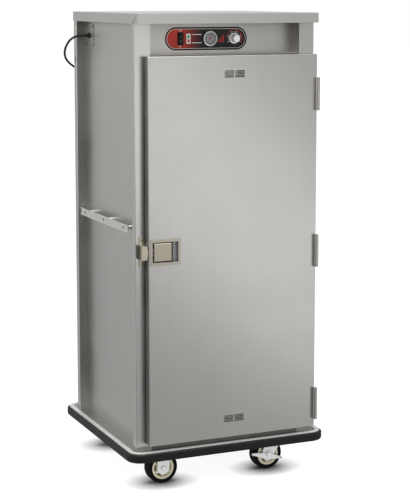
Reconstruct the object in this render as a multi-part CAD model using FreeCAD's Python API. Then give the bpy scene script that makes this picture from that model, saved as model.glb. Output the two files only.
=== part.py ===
import FreeCAD, Part
import math
import os

# Heated banquet cabinet on casters, in millimetres.
# X runs to the viewer's right, the door faces -Y and Z is up.
# The origin is on the floor under the body's centre.

# Body
BODY_W = 768.0
BODY_D = 710.0
TOTAL_H = 1872.0
SHEET = 1.0
POST_FACE = 64.0
POST_DEPTH = 34.0
POST_WALL = 1.5
POST_BEND_R = 2.0
PANEL_RECESS = 38.0
PANEL_FLANGE = 20.0
REAR_RECESS = 10.0
WALL_T = 25.0

# Top cap
CAP_RIM = 39.0
CAP_GAP = 0.6
CAP_FRONT_OVER = 38.0
CAP_SLANT = 57.0
CAP_FOLD_LAP = 6.0

# Base
DECK_Z = 163.5
DECK_T = 2.0
BUMPER_SIDE_OVER = 43.5
BUMPER_END_OVER = 62.0
BUMPER_H = 36.0
BUMPER_T = 18.0
BUMPER_R = 60.0
BUMPER_EDGE = 8.0
RAIL_T = 3.0
RAIL_LIP_T = 2.5
RAIL_LIP_SET = 9.0
RAIL_LIP_W = 19.0
RAIL_SHORT = 2.0
CHANNEL_W = 120.0
CHANNEL_END_GAP = 6.0

# Door frame and control bay
SILL_H = 42.5
RAIL_DEPTH = 30.0
BAY_H = 157.0
HEADER_H = 33.0
FASCIA_RECESS = 70.0

# Door
DOOR_LEFT_LAP = 25.0
DOOR_RIGHT_SET = 4.7
DOOR_T = 36.0
DOOR_GAP = 6.0
DOOR_BOTTOM_GAP = 23.5
DOOR_TOP_GAP = 6.0
DOOR_BEND_R = 2.4
DOOR_LINER_T = 1.0
CORE_GAP = 0.3
GASKET_INSET = 6.0
GASKET_W = 12.0
VENT_W = 86.0
VENT_H = 26.0
VENT_COLUMN_GAP = 5.0
VENT_SLIT_H = 2.6
VENT_ROWS = 5
VENT_TOP_DROP = 72.0
VENT_BOTTOM_RISE = 75.0

# Hinges
HINGE_H = 131.0
HINGE_R = 9.3
HINGE_PIN_R = 4.0
HINGE_LEAF_T = 2.0
HINGE_STAND = 0.3
HINGE_AXIS_IN = 4.3
HINGE_SPLIT_GAP = 0.3
HINGE_GROOVE_H = 3.0
HINGE_GROOVE_IN = 2.0
HINGE_LEAF_REACH = 32.0
HINGE_TOP_DROP = 158.0
HINGE_BOTTOM_RISE = 99.0
HINGE_CAP_T = 6.0
HINGE_SCREW_PITCH = 40.0
PIN_FIT = 0.05

# Latch and strike
LATCH_Z = 955.0
LATCH_SET = 69.0
LATCH_PLATE_W = 128.0
LATCH_PLATE_H = 105.0
LATCH_PLATE_T = 1.5
LATCH_OPEN_W = 107.0
LATCH_OPEN_H = 79.0
LATCH_DEPTH = 24.0
LATCH_CASE_FIT = 0.5
PADDLE_W = 73.0
PADDLE_H = 70.0
PADDLE_T = 4.0
PADDLE_PROUD = 1.0
PADDLE_BEVEL = 1.6
PADDLE_SET = 6.5
PADDLE_PIVOT_IN = 3.0
PADDLE_PIVOT_BACK = 5.0
PADDLE_PIN_R = 1.8
PADDLE_KNUCKLE_WALL = 1.0
LUG_T = 6.0
LUG_H = 12.0
LUG_DEPTH = 15.0
BOLT_H = 24.0
BOLT_T = 13.0
BOLT_BACK_GAP = 0.4
BOLT_FIT = 0.25
BOLT_OUT = 9.0
BOLT_TAIL = 46.0
BOLT_NOTCH_LEFT = 7.9
BOLT_NOTCH_RIGHT = 3.9
BOLT_NOTCH_FIT = 1.0
BOLT_BEVEL = 6.0
STRIKE_EAR_T = 4.0
STRIKE_EAR_W = 22.0
STRIKE_H = 118.0
STRIKE_SCREW_PITCH = 94.0
STRIKE_DOOR_GAP = 2.0
STRIKE_BLOCK_W = 23.0
STRIKE_BLOCK_H = 55.0
STRIKE_LIP_H = 28.0
STRIKE_LIP_REACH = 2.0
STRIKE_LIP_T = 5.0
STRIKE_WALL = 6.0
STRIKE_BOLT_GAP = 1.0

# Side handles
HANDLE_Z = 1034.0
HANDLE_FRONT_GAP = 49.0
HANDLE_REAR_GAP = 41.0
HANDLE_H = 28.0
HANDLE_T = 2.5
HANDLE_FLANGE = 6.0
HANDLE_SCREW_SET = 48.0
SPACER_R = 7.0

# Screw heads
SCREW_R = 4.6
SCREW_H = 2.4
SCREW_SLOT = 1.0
SCREW_DOME = 1.4
SCREW_ARM = 2.5
CASTER_BOLT_R = 6.5
CASTER_BOLT_H = 4.5

# Control fascia fittings
OVERLAY_X = -54.0
OVERLAY_RISE = 57.0
OVERLAY_W = 350.0
OVERLAY_H = 90.0
OVERLAY_T = 0.8
FIT = 0.25
SWITCH_SET = 64.0
SWITCH_W = 25.0
SWITCH_H = 50.0
SWITCH_FLANGE_T = 2.5
SWITCH_FLANGE_W = 3.0
SWITCH_BODY_DEPTH = 24.0
SWITCH_WALL = 2.0
ROCKER_GAP = 0.5
ROCKER_TILT = 10.0
ROCKER_PIVOT_BACK = 3.0
ROCKER_PIN_R = 1.5
ROCKER_PIN_IN = 1.2
ROCKER_PROUD = 5.5
ROCKER_DIP = 3.0
ROCKER_BACK = 4.0
LAMP_SET = 98.0
LAMP_W = 16.0
LAMP_H = 38.0
LAMP_FLANGE_T = 2.0
LAMP_FLANGE_W = 1.5
LAMP_BODY_DEPTH = 18.0
LENS_W = 9.0
LENS_H = 13.0
LENS_PITCH = 16.0
LENS_DEPTH = 7.0
LENS_PROUD = 1.2
METER_OFF = 15.0
METER_R = 30.0
METER_FLANGE_T = 7.0
METER_BEZEL_W = 4.5
METER_CUP_R = 27.0
METER_CUP_DEPTH = 20.0
METER_CUP_WALL = 1.5
DIAL_T = 1.0
DIAL_BACK = 1.5
GLASS_T = 1.5
GLASS_SEAT = 1.0
NEEDLE_ANGLE = 40.0
NEEDLE_L = 21.0
NEEDLE_TAIL = 6.0
NEEDLE_W = 2.0
NEEDLE_T = 0.8
NEEDLE_HUB_R = 3.0
NEEDLE_GAP = 0.4
DIAL_PIN_R = 1.0
KNOB_SET = 56.0
KNOB_SKIRT_R = 21.0
KNOB_SKIRT_T = 5.0
KNOB_R = 14.5
KNOB_L = 28.0
KNOB_GAP = 0.4
KNOB_EDGE = 1.5
KNOB_FLUTES = 18
KNOB_FLUTE_R = 1.3
KNOB_BORE_DEPTH = 20.0
SHAFT_R = 3.0
SHAFT_HOLE_R = 5.0
THERMOSTAT_W = 46.0
THERMOSTAT_DEPTH = 38.0

# Cavity
SHELF_COUNT = 4
SHELF_FIRST_LIFT = 138.0
SHELF_TOP_ROOM = 375.0
SHELF_T = 6.0
SHELF_BAR = 7.0
SHELF_GAP_COUNT = 22
SHELF_SIDE_GAP = 1.0
SHELF_END_GAP = 22.0
UPRIGHT_W = 22.0
UPRIGHT_DEPTH = 10.0
UPRIGHT_WALL = 1.5
UPRIGHT_SET = 96.5
UPRIGHT_END_GAP = 40.0
LEDGE_REACH = 16.0
LEDGE_T = 4.0
ELEMENT_R = 4.0
ELEMENT_LEGS = 4
ELEMENT_PITCH = 110.0
ELEMENT_LIFT = 26.0
ELEMENT_FRONT_GAP = 130.0
COVER_SIDE_GAP = 49.0
COVER_FRONT_GAP = 83.0
COVER_H = 74.0
COVER_T = 1.5
COVER_SLOT_W = 8.0
COVER_SLOT_GAP = 24.0
COVER_COLUMNS = 5
COVER_ROWS = 14
COVER_REAR_GAP = 30.0

# Mains lead
PLATE_REAR_GAP = 16.0
PLATE_DROP = 98.0
PLATE_W = 96.0
PLATE_H = 92.0
PLATE_T = 2.0
PLATE_SCREW_IN = 8.0
GLAND_R = 12.0
GLAND_FLANGE_T = 3.0
GLAND_L = 20.0
GLAND_LEAN = 20.0
GLAND_ROOT_R = 8.5
GLAND_TIP_R = 6.0
GLAND_RUN = 22.0
CORD_D = 9.2
COIL_SET = 149.0
COIL_DROP = 294.0
COIL_INNER_R = 30.0
COIL_PITCH = 10.9
COIL_LAYER = 10.1
COIL_SPIRAL_TURNS = 2.25
COIL_CROSS_TURNS = 0.5
COIL_PANEL_GAP = 2.5
COIL_TAIL = 60.0
HOOK_R = 4.0
HOOK_REACH = 27.5
HOOK_TIP = 12.0
HOOK_PLATE = 34.0
HOOK_PLATE_T = 2.0
HOOK_GAP = 0.3
PLUG_L = 44.0
PLUG_W = 26.0
PLUG_D = 21.0
PLUG_NECK_R = 7.6
PLUG_NECK_WALL = 1.0
PLUG_NECK_L = 18.0
PLUG_EDGE = 3.0
BLADE_L = 17.0
BLADE_W = 6.4
BLADE_T = 1.5
BLADE_PITCH = 12.7
EARTH_R = 2.4
EARTH_L = 20.0
EARTH_OFFSET = 6.5

# Casters
WHEEL_D = 127.0
TREAD_W = 50.0
TYRE_EDGE = 7.0
HUB_R = 46.0
HUB_RIM_W = 48.0
HUB_RIM_T = 7.0
HUB_WEB_T = 38.0
HUB_BOSS_R = 14.0
HUB_SLOT_IN = 25.0
HUB_SLOT_OUT = 36.0
HUB_SPOKES = 6
HUB_SPOKE_W = 8.0
HUB_END_GAP = 0.3
TYRE_FIT = 0.05
AXLE_R = 5.0
AXLE_HEAD_R = 10.0
AXLE_HEAD_T = 5.5
LEG_GAP = 3.0
LEG_T = 3.0
CASTER_SET_X = 132.0
CASTER_SET_Y = 75.0
CASTER_H = 155.0
CASTER_PLATE_X = 100.0
CASTER_PLATE_Y = 90.0
CASTER_PLATE_T = 3.0
CASTER_BOLT_X = 76.0
CASTER_BOLT_Y = 66.0
RIGID_LEG_R = 25.5
SWIVEL_TRAIL = 38.0
SWIVEL_LEG_R = 27.0
RACE_R = 30.0
RACE_T = 9.7
RACE_GAP = 0.3
CROWN_T = 3.0
CROWN_FRONT = 36.0
CROWN_REAR = 44.0
KINGPIN_R = 7.0
PEDAL_R = 16.0
PEDAL_T = 3.0
PEDAL_GAP = 0.3
PEDAL_LEFT = 76.0
PEDAL_RIGHT = 60.0
PEDAL_TIP_H = 8.0
PEDAL_ROOT_H = 25.6
PEDAL_DROP = 7.4
PEDAL_TILT = 12.4
PEDAL_FLARE = 9.0

# Places worked out from the sizes above
BODY_X = BODY_W / 2
FRONT_Y = -BODY_D / 2
REAR_Y = BODY_D / 2
POST_IN_X = BODY_X - POST_FACE
POST_FRONT_BACK_Y = FRONT_Y + POST_DEPTH
POST_REAR_FACE_Y = REAR_Y - POST_DEPTH
CAP_UNDER_Z = TOTAL_H - SHEET
BAY_FLOOR_Z = TOTAL_H - BAY_H
CAP_X = BODY_X + CAP_GAP + SHEET
CAP_FRONT_Y = FRONT_Y - CAP_FRONT_OVER
CAP_REAR_Y = REAR_Y + CAP_GAP + SHEET
PANEL_X = BODY_X - PANEL_RECESS
REAR_PANEL_Y = REAR_Y - REAR_RECESS
LINER_REAR_Y = REAR_PANEL_Y - SHEET - WALL_T
CAVITY_X = POST_IN_X - SHEET
CAVITY_REAR_Y = LINER_REAR_Y - SHEET
SILL_TOP_Z = DECK_Z + SILL_H
CAVITY_FLOOR_Z = SILL_TOP_Z + SHEET
HEADER_TOP_Z = BAY_FLOOR_Z - SHEET
HEADER_LOW_Z = HEADER_TOP_Z - HEADER_H
CAVITY_TOP_Z = HEADER_LOW_Z - SHEET
CAVITY_MID_Y = (FRONT_Y + CAVITY_REAR_Y) / 2
UPRIGHT_Y = (CAVITY_REAR_Y - FRONT_Y) / 2 - UPRIGHT_SET
SHELF_FIRST_Z = CAVITY_FLOOR_Z + SHELF_FIRST_LIFT
SHELF_PITCH = (CAVITY_TOP_Z - SHELF_TOP_ROOM - SHELF_FIRST_Z) / (SHELF_COUNT - 1)
COVER_REAR_Y = CAVITY_REAR_Y - COVER_REAR_GAP
COVER_W = 2 * (CAVITY_X - COVER_SIDE_GAP)
COVER_D = COVER_REAR_Y - FRONT_Y - COVER_FRONT_GAP
COVER_SLOT_L = COVER_W / COVER_COLUMNS - COVER_SLOT_GAP
HANDLE_L = POST_REAR_FACE_Y - HANDLE_REAR_GAP - POST_FRONT_BACK_Y - HANDLE_FRONT_GAP
HANDLE_Y = POST_FRONT_BACK_Y + HANDLE_FRONT_GAP + HANDLE_L / 2
HANDLE_SCREW_PITCH = HANDLE_L / 2 - HANDLE_SCREW_SET
FASCIA_Y = FRONT_Y + FASCIA_RECESS
OVERLAY_Y = FASCIA_Y - OVERLAY_T
OVERLAY_Z = BAY_FLOOR_Z + OVERLAY_RISE
SWITCH_X = OVERLAY_X - OVERLAY_W / 2 + SWITCH_SET
LAMP_X = OVERLAY_X - OVERLAY_W / 2 + LAMP_SET
METER_X = OVERLAY_X + METER_OFF
KNOB_X = OVERLAY_X + OVERLAY_W / 2 - KNOB_SET
DOOR_LOW_X = -POST_IN_X - DOOR_LEFT_LAP
DOOR_HIGH_X = BODY_X - DOOR_RIGHT_SET
DOOR_BACK_Y = FRONT_Y - DOOR_GAP
DOOR_FRONT_Y = DOOR_BACK_Y - DOOR_T
DOOR_LOW_Z = DECK_Z + DOOR_BOTTOM_GAP
DOOR_HIGH_Z = BAY_FLOOR_Z - DOOR_TOP_GAP
DOOR_MID_X = (DOOR_LOW_X + DOOR_HIGH_X) / 2
HINGE_X = DOOR_HIGH_X + HINGE_LEAF_T - HINGE_AXIS_IN
HINGE_Y = DOOR_FRONT_Y - HINGE_STAND - HINGE_R
HINGE_HIGH_Z = DOOR_HIGH_Z - HINGE_TOP_DROP
HINGE_LOW_Z = DOOR_LOW_Z + HINGE_BOTTOM_RISE
HINGE_ZS = (HINGE_LOW_Z, (HINGE_LOW_Z + HINGE_HIGH_Z) / 2, HINGE_HIGH_Z)
LATCH_X = DOOR_LOW_X + LATCH_SET
LATCH_LOW_X = LATCH_X - LATCH_OPEN_W / 2
PADDLE_LOW_X = LATCH_LOW_X + PADDLE_SET
PADDLE_FRONT_Y = DOOR_FRONT_Y - LATCH_PLATE_T - PADDLE_PROUD
PADDLE_PIVOT_X = PADDLE_LOW_X + PADDLE_PIVOT_IN
PADDLE_PIVOT_Y = PADDLE_FRONT_Y + PADDLE_PIVOT_BACK
LATCH_BACK_Y = DOOR_FRONT_Y + LATCH_DEPTH
BOLT_BACK_Y = LATCH_BACK_Y - LATCH_PLATE_T - BOLT_BACK_GAP
BOLT_FRONT_Y = BOLT_BACK_Y - BOLT_T
STRIKE_HIGH_X = DOOR_LOW_X - STRIKE_DOOR_GAP
WHEEL_R = WHEEL_D / 2
CASTER_X = BODY_X - CASTER_SET_X
CASTER_Y = REAR_Y - CASTER_SET_Y
LEG_IN = TREAD_W / 2 + LEG_GAP
LEG_OUT = LEG_IN + LEG_T
SWIVEL_AXLE_X = CASTER_X - SWIVEL_TRAIL
PLATE_LOW_Z = CASTER_H - CASTER_PLATE_T
CROWN_TOP_Z = PLATE_LOW_Z - RACE_T - RACE_GAP
CORD_R = CORD_D / 2
PLATE_Y = POST_REAR_FACE_Y - PLATE_REAR_GAP - PLATE_W / 2
PLATE_Z = TOTAL_H - PLATE_DROP
COIL_X = COIL_SET - BODY_X
COIL_Z = PLATE_Z - COIL_DROP
COIL_OUTER_R = COIL_INNER_R + COIL_PITCH * COIL_SPIRAL_TURNS
COIL_Y = REAR_PANEL_Y + COIL_PANEL_GAP + CORD_R
COIL_LAST_Y = COIL_Y + COIL_LAYER
GLAND_FACE_X = -PANEL_X - PLATE_T - GLAND_FLANGE_T
GLAND_OUT = math.cos(math.radians(GLAND_LEAN))
GLAND_BACK = math.sin(math.radians(GLAND_LEAN))
COIL_START_X = COIL_X - COIL_OUTER_R

# Route of the lead from the gland round the rear left corner to the coil, as steps from three anchors
LEAD_OFF_GLAND = (
    (0.0, 0.0, 0.0),
    (-GLAND_RUN * GLAND_OUT, GLAND_RUN * GLAND_BACK, 0.0),
    (-37.5, 22.3, -7.2),
)
LEAD_ROUND_CORNER = (
    (-34.0, -50.0, -19.5),
    (-38.5, -26.5, -36.0),
    (-39.5, -3.0, -55.0),
    (-36.0, 19.5, -77.0),
    (-25.5, 38.0, -99.5),
    (-7.5, 47.5, -119.5),
    (15.0, 48.5, -136.0),
    (38.5, 43.5, -151.0),
)
LEAD_TO_COIL = (
    (-34.0, 37.5, 131.0),
    (-17.0, 27.0, 106.0),
    (-6.0, 16.5, 78.0),
    (-1.0, 7.0, 50.0),
    (0.0, 0.0, 25.0),
    (0.0, 0.0, 0.0),
)
LEAD_ANCHORS = (
    ((GLAND_FACE_X - GLAND_L * GLAND_OUT, PLATE_Y + GLAND_L * GLAND_BACK, PLATE_Z), LEAD_OFF_GLAND),
    ((-BODY_X, REAR_Y, PLATE_Z), LEAD_ROUND_CORNER),
    ((COIL_START_X, COIL_Y, COIL_Z), LEAD_TO_COIL),
)

X_AXIS = FreeCAD.Vector(1, 0, 0)
Y_AXIS = FreeCAD.Vector(0, 1, 0)
Z_AXIS = FreeCAD.Vector(0, 0, 1)
DOWN = FreeCAD.Vector(0, 0, -1)
ORIGIN = FreeCAD.Vector(0, 0, 0)
TINY = 1e-6


def block(x, y, z):
    """Box between the two values of each pair."""
    return Part.makeBox(x[1] - x[0], y[1] - y[0], z[1] - z[0], FreeCAD.Vector(x[0], y[0], z[0]))


def centred(middle, half):
    """Pair of values half a size either side of a middle."""
    return (middle - half, middle + half)


def prism(points, direction):
    """Straight-sided outline through the points, drawn out along a direction."""
    corners = [FreeCAD.Vector(*point) for point in points]
    return Part.Face(Part.makePolygon(corners + corners[:1])).extrude(direction)


def rod_x(x, y, z, radius):
    """Round bar along X."""
    return Part.makeCylinder(radius, x[1] - x[0], FreeCAD.Vector(x[0], y, z), X_AXIS)


def rod_y(x, y, z, radius):
    """Round bar along Y."""
    return Part.makeCylinder(radius, y[1] - y[0], FreeCAD.Vector(x, y[0], z), Y_AXIS)


def rod_z(x, y, z, radius):
    """Round bar along Z."""
    return Part.makeCylinder(radius, z[1] - z[0], FreeCAD.Vector(x, y, z[0]), Z_AXIS)


def rounded_slab(half_x, half_y, radius, z):
    """Flat slab about the Z axis with rounded corners."""
    slab = block((-half_x, half_x), (-half_y, half_y), z)
    upright = [edge for edge in slab.Edges if abs(edge.tangentAt(edge.FirstParameter).z) > 0.9]
    return slab.makeFillet(radius, upright)


def stadium_y(x, y, z, width, height):
    """Plate facing -Y with half-round ends."""
    end = height / 2
    run = width / 2 - end
    middle = block(centred(x, run), y, centred(z, end))
    return middle.fuse([rod_y(x - run, y, z, end), rod_y(x + run, y, z, end)]).removeSplitter()


def mirrored(shape):
    """The same piece on the other side of the cabinet."""
    return shape.mirror(ORIGIN, X_AXIS)


def pair(shape):
    """A piece and its twin on the other side."""
    return Part.makeCompound([shape, mirrored(shape)])


def corner_radius(before, point, after):
    """Largest easy bend radius at a corner of a route, and half its turn."""
    run_in = point.sub(before)
    run_out = after.sub(point)
    half_turn = run_in.getAngle(run_out) / 2
    return 0.45 * min(run_in.Length, run_out.Length) / math.tan(half_turn), half_turn


def route_edges(route):
    """Straight runs joined by tangent arcs along a route."""
    edges = []
    radii = []
    last = route[0]
    for before, point, after in zip(route, route[1:], route[2:]):
        radius, half_turn = corner_radius(before, point, after)
        radii.append(round(radius, 1))
        setback = radius * math.tan(half_turn)
        inward = before.sub(point).normalize()
        outward = after.sub(point).normalize()
        start = point.add(inward.multiply(setback))
        end = point.add(outward.multiply(setback))
        bisector = start.add(end).multiply(0.5).sub(point).normalize()
        middle = point.add(bisector.multiply(radius / math.cos(half_turn) - radius))
        edges.append(Part.LineSegment(last, start).toShape())
        edges.append(Part.Arc(start, middle, end).toShape())
        last = end
    edges.append(Part.LineSegment(last, route[-1]).toShape())
    return edges, radii


def tube(edges, radius, name):
    """Round tube along a smooth path, with its volume set against its section and length."""
    path = Part.Wire(edges)
    start = edges[0].valueAt(edges[0].FirstParameter)
    heading = edges[0].tangentAt(edges[0].FirstParameter)
    section = Part.Wire([Part.Circle(start, heading, radius).toShape()])
    solid = path.makePipeShell([section], True, False)
    expected = math.pi * radius ** 2 * path.Length
    print(name, "length", round(path.Length, 1), "volume ratio", round(solid.Volume / expected, 5))
    return solid


def biarc(start, heading, end, end_heading):
    """Two tangent arcs from one point and heading to another."""
    chord = end.sub(start)
    both = heading.add(end_heading)
    square = 2 * (1 - heading.dot(end_heading))
    lean = chord.dot(both)
    if square < TINY:
        reach = chord.Length ** 2 / (4 * chord.dot(end_heading))
    else:
        reach = (-lean + math.sqrt(lean ** 2 + square * chord.Length ** 2)) / square
    first = start.add(FreeCAD.Vector(heading).multiply(reach))
    second = end.sub(FreeCAD.Vector(end_heading).multiply(reach))
    joint = first.add(second).multiply(0.5)
    edges = []
    for low, corner, high in ((start, first, joint), (joint, second, end)):
        weight = math.cos(corner.sub(low).getAngle(high.sub(corner)) / 2)
        middle = low.add(high).add(FreeCAD.Vector(corner).multiply(2 * weight)).multiply(0.5 / (1 + weight))
        edges.append(Part.Arc(low, middle, high).toShape())
    return edges


def base_skirt(half_x, half_y, radius, z):
    """Straight strips and corner bends of the skirt under the deck's edge."""
    ring = rounded_slab(half_x, half_y, radius, z)
    ring = ring.cut(rounded_slab(half_x - DECK_T, half_y - DECK_T, radius - DECK_T, z))
    run_x = half_x - radius
    run_y = half_y - radius
    strips = []
    for x in ((-half_x, -run_x), (-run_x, run_x), (run_x, half_x)):
        for y in ((-half_y, -run_y), (-run_y, run_y), (run_y, half_y)):
            strips += ring.common(block(x, y, z)).Solids
    return strips


def base_frame():
    """Deck with a skirt and two caster channels welded under it."""
    half_x = BODY_X + BUMPER_SIDE_OVER - BUMPER_T - RAIL_T
    half_y = REAR_Y + BUMPER_END_OVER - BUMPER_T - RAIL_T
    radius = BUMPER_R - BUMPER_T - RAIL_T
    skirt_z = DECK_Z - BUMPER_H + RAIL_SHORT
    under = DECK_Z - DECK_T
    deck = rounded_slab(half_x, half_y, radius, (under, DECK_Z))
    channel_y = half_y - DECK_T - CHANNEL_END_GAP
    pieces = [deck] + base_skirt(half_x, half_y, radius, (skirt_z, under))
    for side in (-1, 1):
        middle = side * CASTER_X
        outer = block(centred(middle, CHANNEL_W / 2), centred(0, channel_y), (CASTER_H, under))
        room = centred(middle, CHANNEL_W / 2 - DECK_T)
        pieces.append(outer.cut(block(room, centred(0, channel_y), (CASTER_H + DECK_T, under))))
    return Part.makeCompound(pieces)


def bumper_ring(inset, width, radius, z):
    """Closed ring round the base, a distance in from the bumper's outer face."""
    half_x = BODY_X + BUMPER_SIDE_OVER - inset
    half_y = REAR_Y + BUMPER_END_OVER - inset
    outer = rounded_slab(half_x, half_y, radius - inset, z)
    return outer.cut(rounded_slab(half_x - width, half_y - width, radius - inset - width, z))


def bumper():
    """Black vinyl bumper with rounded outer edges."""
    low = DECK_Z - BUMPER_H
    ring = bumper_ring(0, BUMPER_T, BUMPER_R, (low, DECK_Z))
    reach = BODY_X + BUMPER_SIDE_OVER - BUMPER_T / 2
    reach_y = REAR_Y + BUMPER_END_OVER - BUMPER_T / 2
    corner_reach = (reach - BUMPER_R + BUMPER_T / 2, reach_y - BUMPER_R + BUMPER_T / 2)
    middle_r = BUMPER_R - BUMPER_T / 2
    edges = []
    for edge in ring.Edges:
        point = edge.valueAt((edge.FirstParameter + edge.LastParameter) / 2)
        flat = edge.BoundBox.ZLength < TINY
        over = (max(abs(point.x) - corner_reach[0], 0), max(abs(point.y) - corner_reach[1], 0))
        if flat and math.hypot(*over) > middle_r:
            edges.append(edge)
    return ring.makeFillet(BUMPER_EDGE, edges)


def bumper_rail():
    """Aluminium rail behind the bumper, with a bright lip over its top edge."""
    low = DECK_Z - BUMPER_H + RAIL_SHORT
    web = bumper_ring(BUMPER_T, RAIL_T, BUMPER_R, (low, DECK_Z))
    lip = bumper_ring(RAIL_LIP_SET, RAIL_LIP_W, BUMPER_R, (DECK_Z, DECK_Z + RAIL_LIP_T))
    return web.fuse(lip).removeSplitter()


def corner_posts():
    """Four folded box posts from the deck to the cap."""
    posts = []
    for y in ((FRONT_Y, POST_FRONT_BACK_Y), (POST_REAR_FACE_Y, REAR_Y)):
        post = block((POST_IN_X, BODY_X), y, (DECK_Z, CAP_UNDER_Z))
        outer = [edge for edge in post.Edges if edge.BoundBox.XMin > BODY_X - POST_WALL]
        bends = [edge for edge in outer if edge.BoundBox.ZLength > POST_FACE]
        post = post.makeFillet(POST_BEND_R, bends)
        room_x = (POST_IN_X + POST_WALL, BODY_X - POST_WALL)
        room_y = (y[0] + POST_WALL, y[1] - POST_WALL)
        post = post.cut(block(room_x, room_y, (DECK_Z, CAP_UNDER_Z)))
        posts += [post, mirrored(post)]
    return Part.makeCompound(posts)


def side_panels():
    """Recessed side sheets with flanges turned in along the posts."""
    z = (DECK_Z, CAP_UNDER_Z)
    sheet = block((PANEL_X - SHEET, PANEL_X), (POST_FRONT_BACK_Y, POST_REAR_FACE_Y), z)
    flange_x = (PANEL_X - PANEL_FLANGE, PANEL_X)
    front = block(flange_x, (POST_FRONT_BACK_Y, POST_FRONT_BACK_Y + SHEET), z)
    rear = block(flange_x, (POST_REAR_FACE_Y - SHEET, POST_REAR_FACE_Y), z)
    return pair(sheet.fuse([front, rear]).removeSplitter())


def rear_panel():
    """Rear sheet between the rear posts."""
    y = (REAR_PANEL_Y - SHEET, REAR_PANEL_Y)
    return block(centred(0, POST_IN_X), y, (DECK_Z, CAP_UNDER_Z))


def top_cap():
    """Flat cap with a turned-down rim, its side rims cut back on a slant at the front corners."""
    rim_z = TOTAL_H - CAP_RIM
    y = (CAP_FRONT_Y, CAP_REAR_Y)
    cap = block(centred(0, CAP_X), y, (rim_z, TOTAL_H))
    inside_y = (CAP_FRONT_Y + SHEET, CAP_REAR_Y - SHEET)
    cap = cap.cut(block(centred(0, CAP_X - SHEET), inside_y, (rim_z, CAP_UNDER_Z)))
    slant = (
        (-CAP_X, CAP_FRONT_Y + SHEET, CAP_UNDER_Z),
        (-CAP_X, CAP_FRONT_Y + SHEET, rim_z),
        (-CAP_X, CAP_FRONT_Y + CAP_SLANT, rim_z),
    )
    left_cut = prism(slant, FreeCAD.Vector(SHEET, 0, 0))
    cap = cap.cut([left_cut, mirrored(left_cut)])
    lapped = (
        (-CAP_X + SHEET, CAP_FRONT_Y + SHEET, CAP_UNDER_Z),
        (-CAP_X + SHEET, CAP_FRONT_Y + SHEET, rim_z),
        (-CAP_X + SHEET, CAP_FRONT_Y + CAP_SLANT + CAP_FOLD_LAP, rim_z),
        (-CAP_X + SHEET, CAP_FRONT_Y + SHEET + CAP_FOLD_LAP, CAP_UNDER_Z),
    )
    fold = prism(lapped, FreeCAD.Vector(SHEET, 0, 0))
    fold = fold.common(block((-CAP_X, 0), (CAP_FRONT_Y, FRONT_Y), (rim_z, TOTAL_H)))
    return cap.fuse([fold, mirrored(fold)]).removeSplitter()


def door_frame_rails():
    """Sill and header channels between the front posts."""
    y = (FRONT_Y, FRONT_Y + RAIL_DEPTH)
    rails = []
    for z in ((DECK_Z, SILL_TOP_Z), (HEADER_LOW_Z, HEADER_TOP_Z)):
        rail = block(centred(0, POST_IN_X), y, z)
        room = (z[0] + POST_WALL, z[1] - POST_WALL)
        rails.append(rail.cut(block(centred(0, POST_IN_X), (y[0] + POST_WALL, y[1]), room)))
    return Part.makeCompound(rails)


def control_fascia():
    """Folded sheet: bay floor, set-back control face and the two cheeks of the recess."""
    floor_y = (FRONT_Y, REAR_PANEL_Y - SHEET)
    floor = block(centred(0, POST_IN_X), floor_y, (HEADER_TOP_Z, BAY_FLOOR_Z))
    z = (HEADER_TOP_Z, CAP_UNDER_Z)
    face = block(centred(0, POST_IN_X), (FASCIA_Y, FASCIA_Y + SHEET), z)
    cheek = block((POST_IN_X - SHEET, POST_IN_X), (FRONT_Y, FASCIA_Y + SHEET), z)
    sheet = floor.fuse([face, cheek, mirrored(cheek)]).removeSplitter()
    return sheet.cut(control_holes((FASCIA_Y, FASCIA_Y + SHEET)))


def control_holes(y):
    """Openings for the switch, lamps, thermometer and thermostat shaft."""
    switch = block(
        centred(SWITCH_X, SWITCH_W / 2 - SWITCH_FLANGE_W + FIT),
        y,
        centred(OVERLAY_Z, SWITCH_H / 2 - SWITCH_FLANGE_W + FIT),
    )
    lamp = block(
        centred(LAMP_X, LAMP_W / 2 - LAMP_FLANGE_W + FIT),
        y,
        centred(OVERLAY_Z, LAMP_H / 2 - LAMP_FLANGE_W + FIT),
    )
    meter = rod_y(METER_X, y, OVERLAY_Z, METER_CUP_R + FIT)
    shaft = rod_y(KNOB_X, y, OVERLAY_Z, SHAFT_HOLE_R)
    return [switch, lamp, meter, shaft]


def control_overlay():
    """Thin printed plate with round ends behind the controls."""
    y = (OVERLAY_Y, FASCIA_Y)
    plate = stadium_y(OVERLAY_X, y, OVERLAY_Z, OVERLAY_W, OVERLAY_H)
    return plate.cut(control_holes(y))


def rocker_place():
    """Pivot line of the rocker in Y."""
    return OVERLAY_Y - SWITCH_FLANGE_T + ROCKER_PIVOT_BACK


def switch_bezel():
    """Moulded switch housing, open at the front for its rocker."""
    front = OVERLAY_Y - SWITCH_FLANGE_T
    body_x = SWITCH_W / 2 - SWITCH_FLANGE_W
    body_z = SWITCH_H / 2 - SWITCH_FLANGE_W
    back = OVERLAY_Y + SWITCH_BODY_DEPTH
    flange = block(centred(SWITCH_X, SWITCH_W / 2), (front, OVERLAY_Y), centred(OVERLAY_Z, SWITCH_H / 2))
    body = block(centred(SWITCH_X, body_x), (OVERLAY_Y, back), centred(OVERLAY_Z, body_z))
    room_x = body_x - SWITCH_WALL
    room_z = body_z - SWITCH_WALL
    room = block(centred(SWITCH_X, room_x), (front, back - SWITCH_WALL), centred(OVERLAY_Z, room_z))
    pin = rod_x(centred(SWITCH_X, room_x + ROCKER_PIN_IN), rocker_place(), OVERLAY_Z, ROCKER_PIN_R + PIN_FIT)
    return flange.fuse(body).removeSplitter().cut([room, pin])


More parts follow.
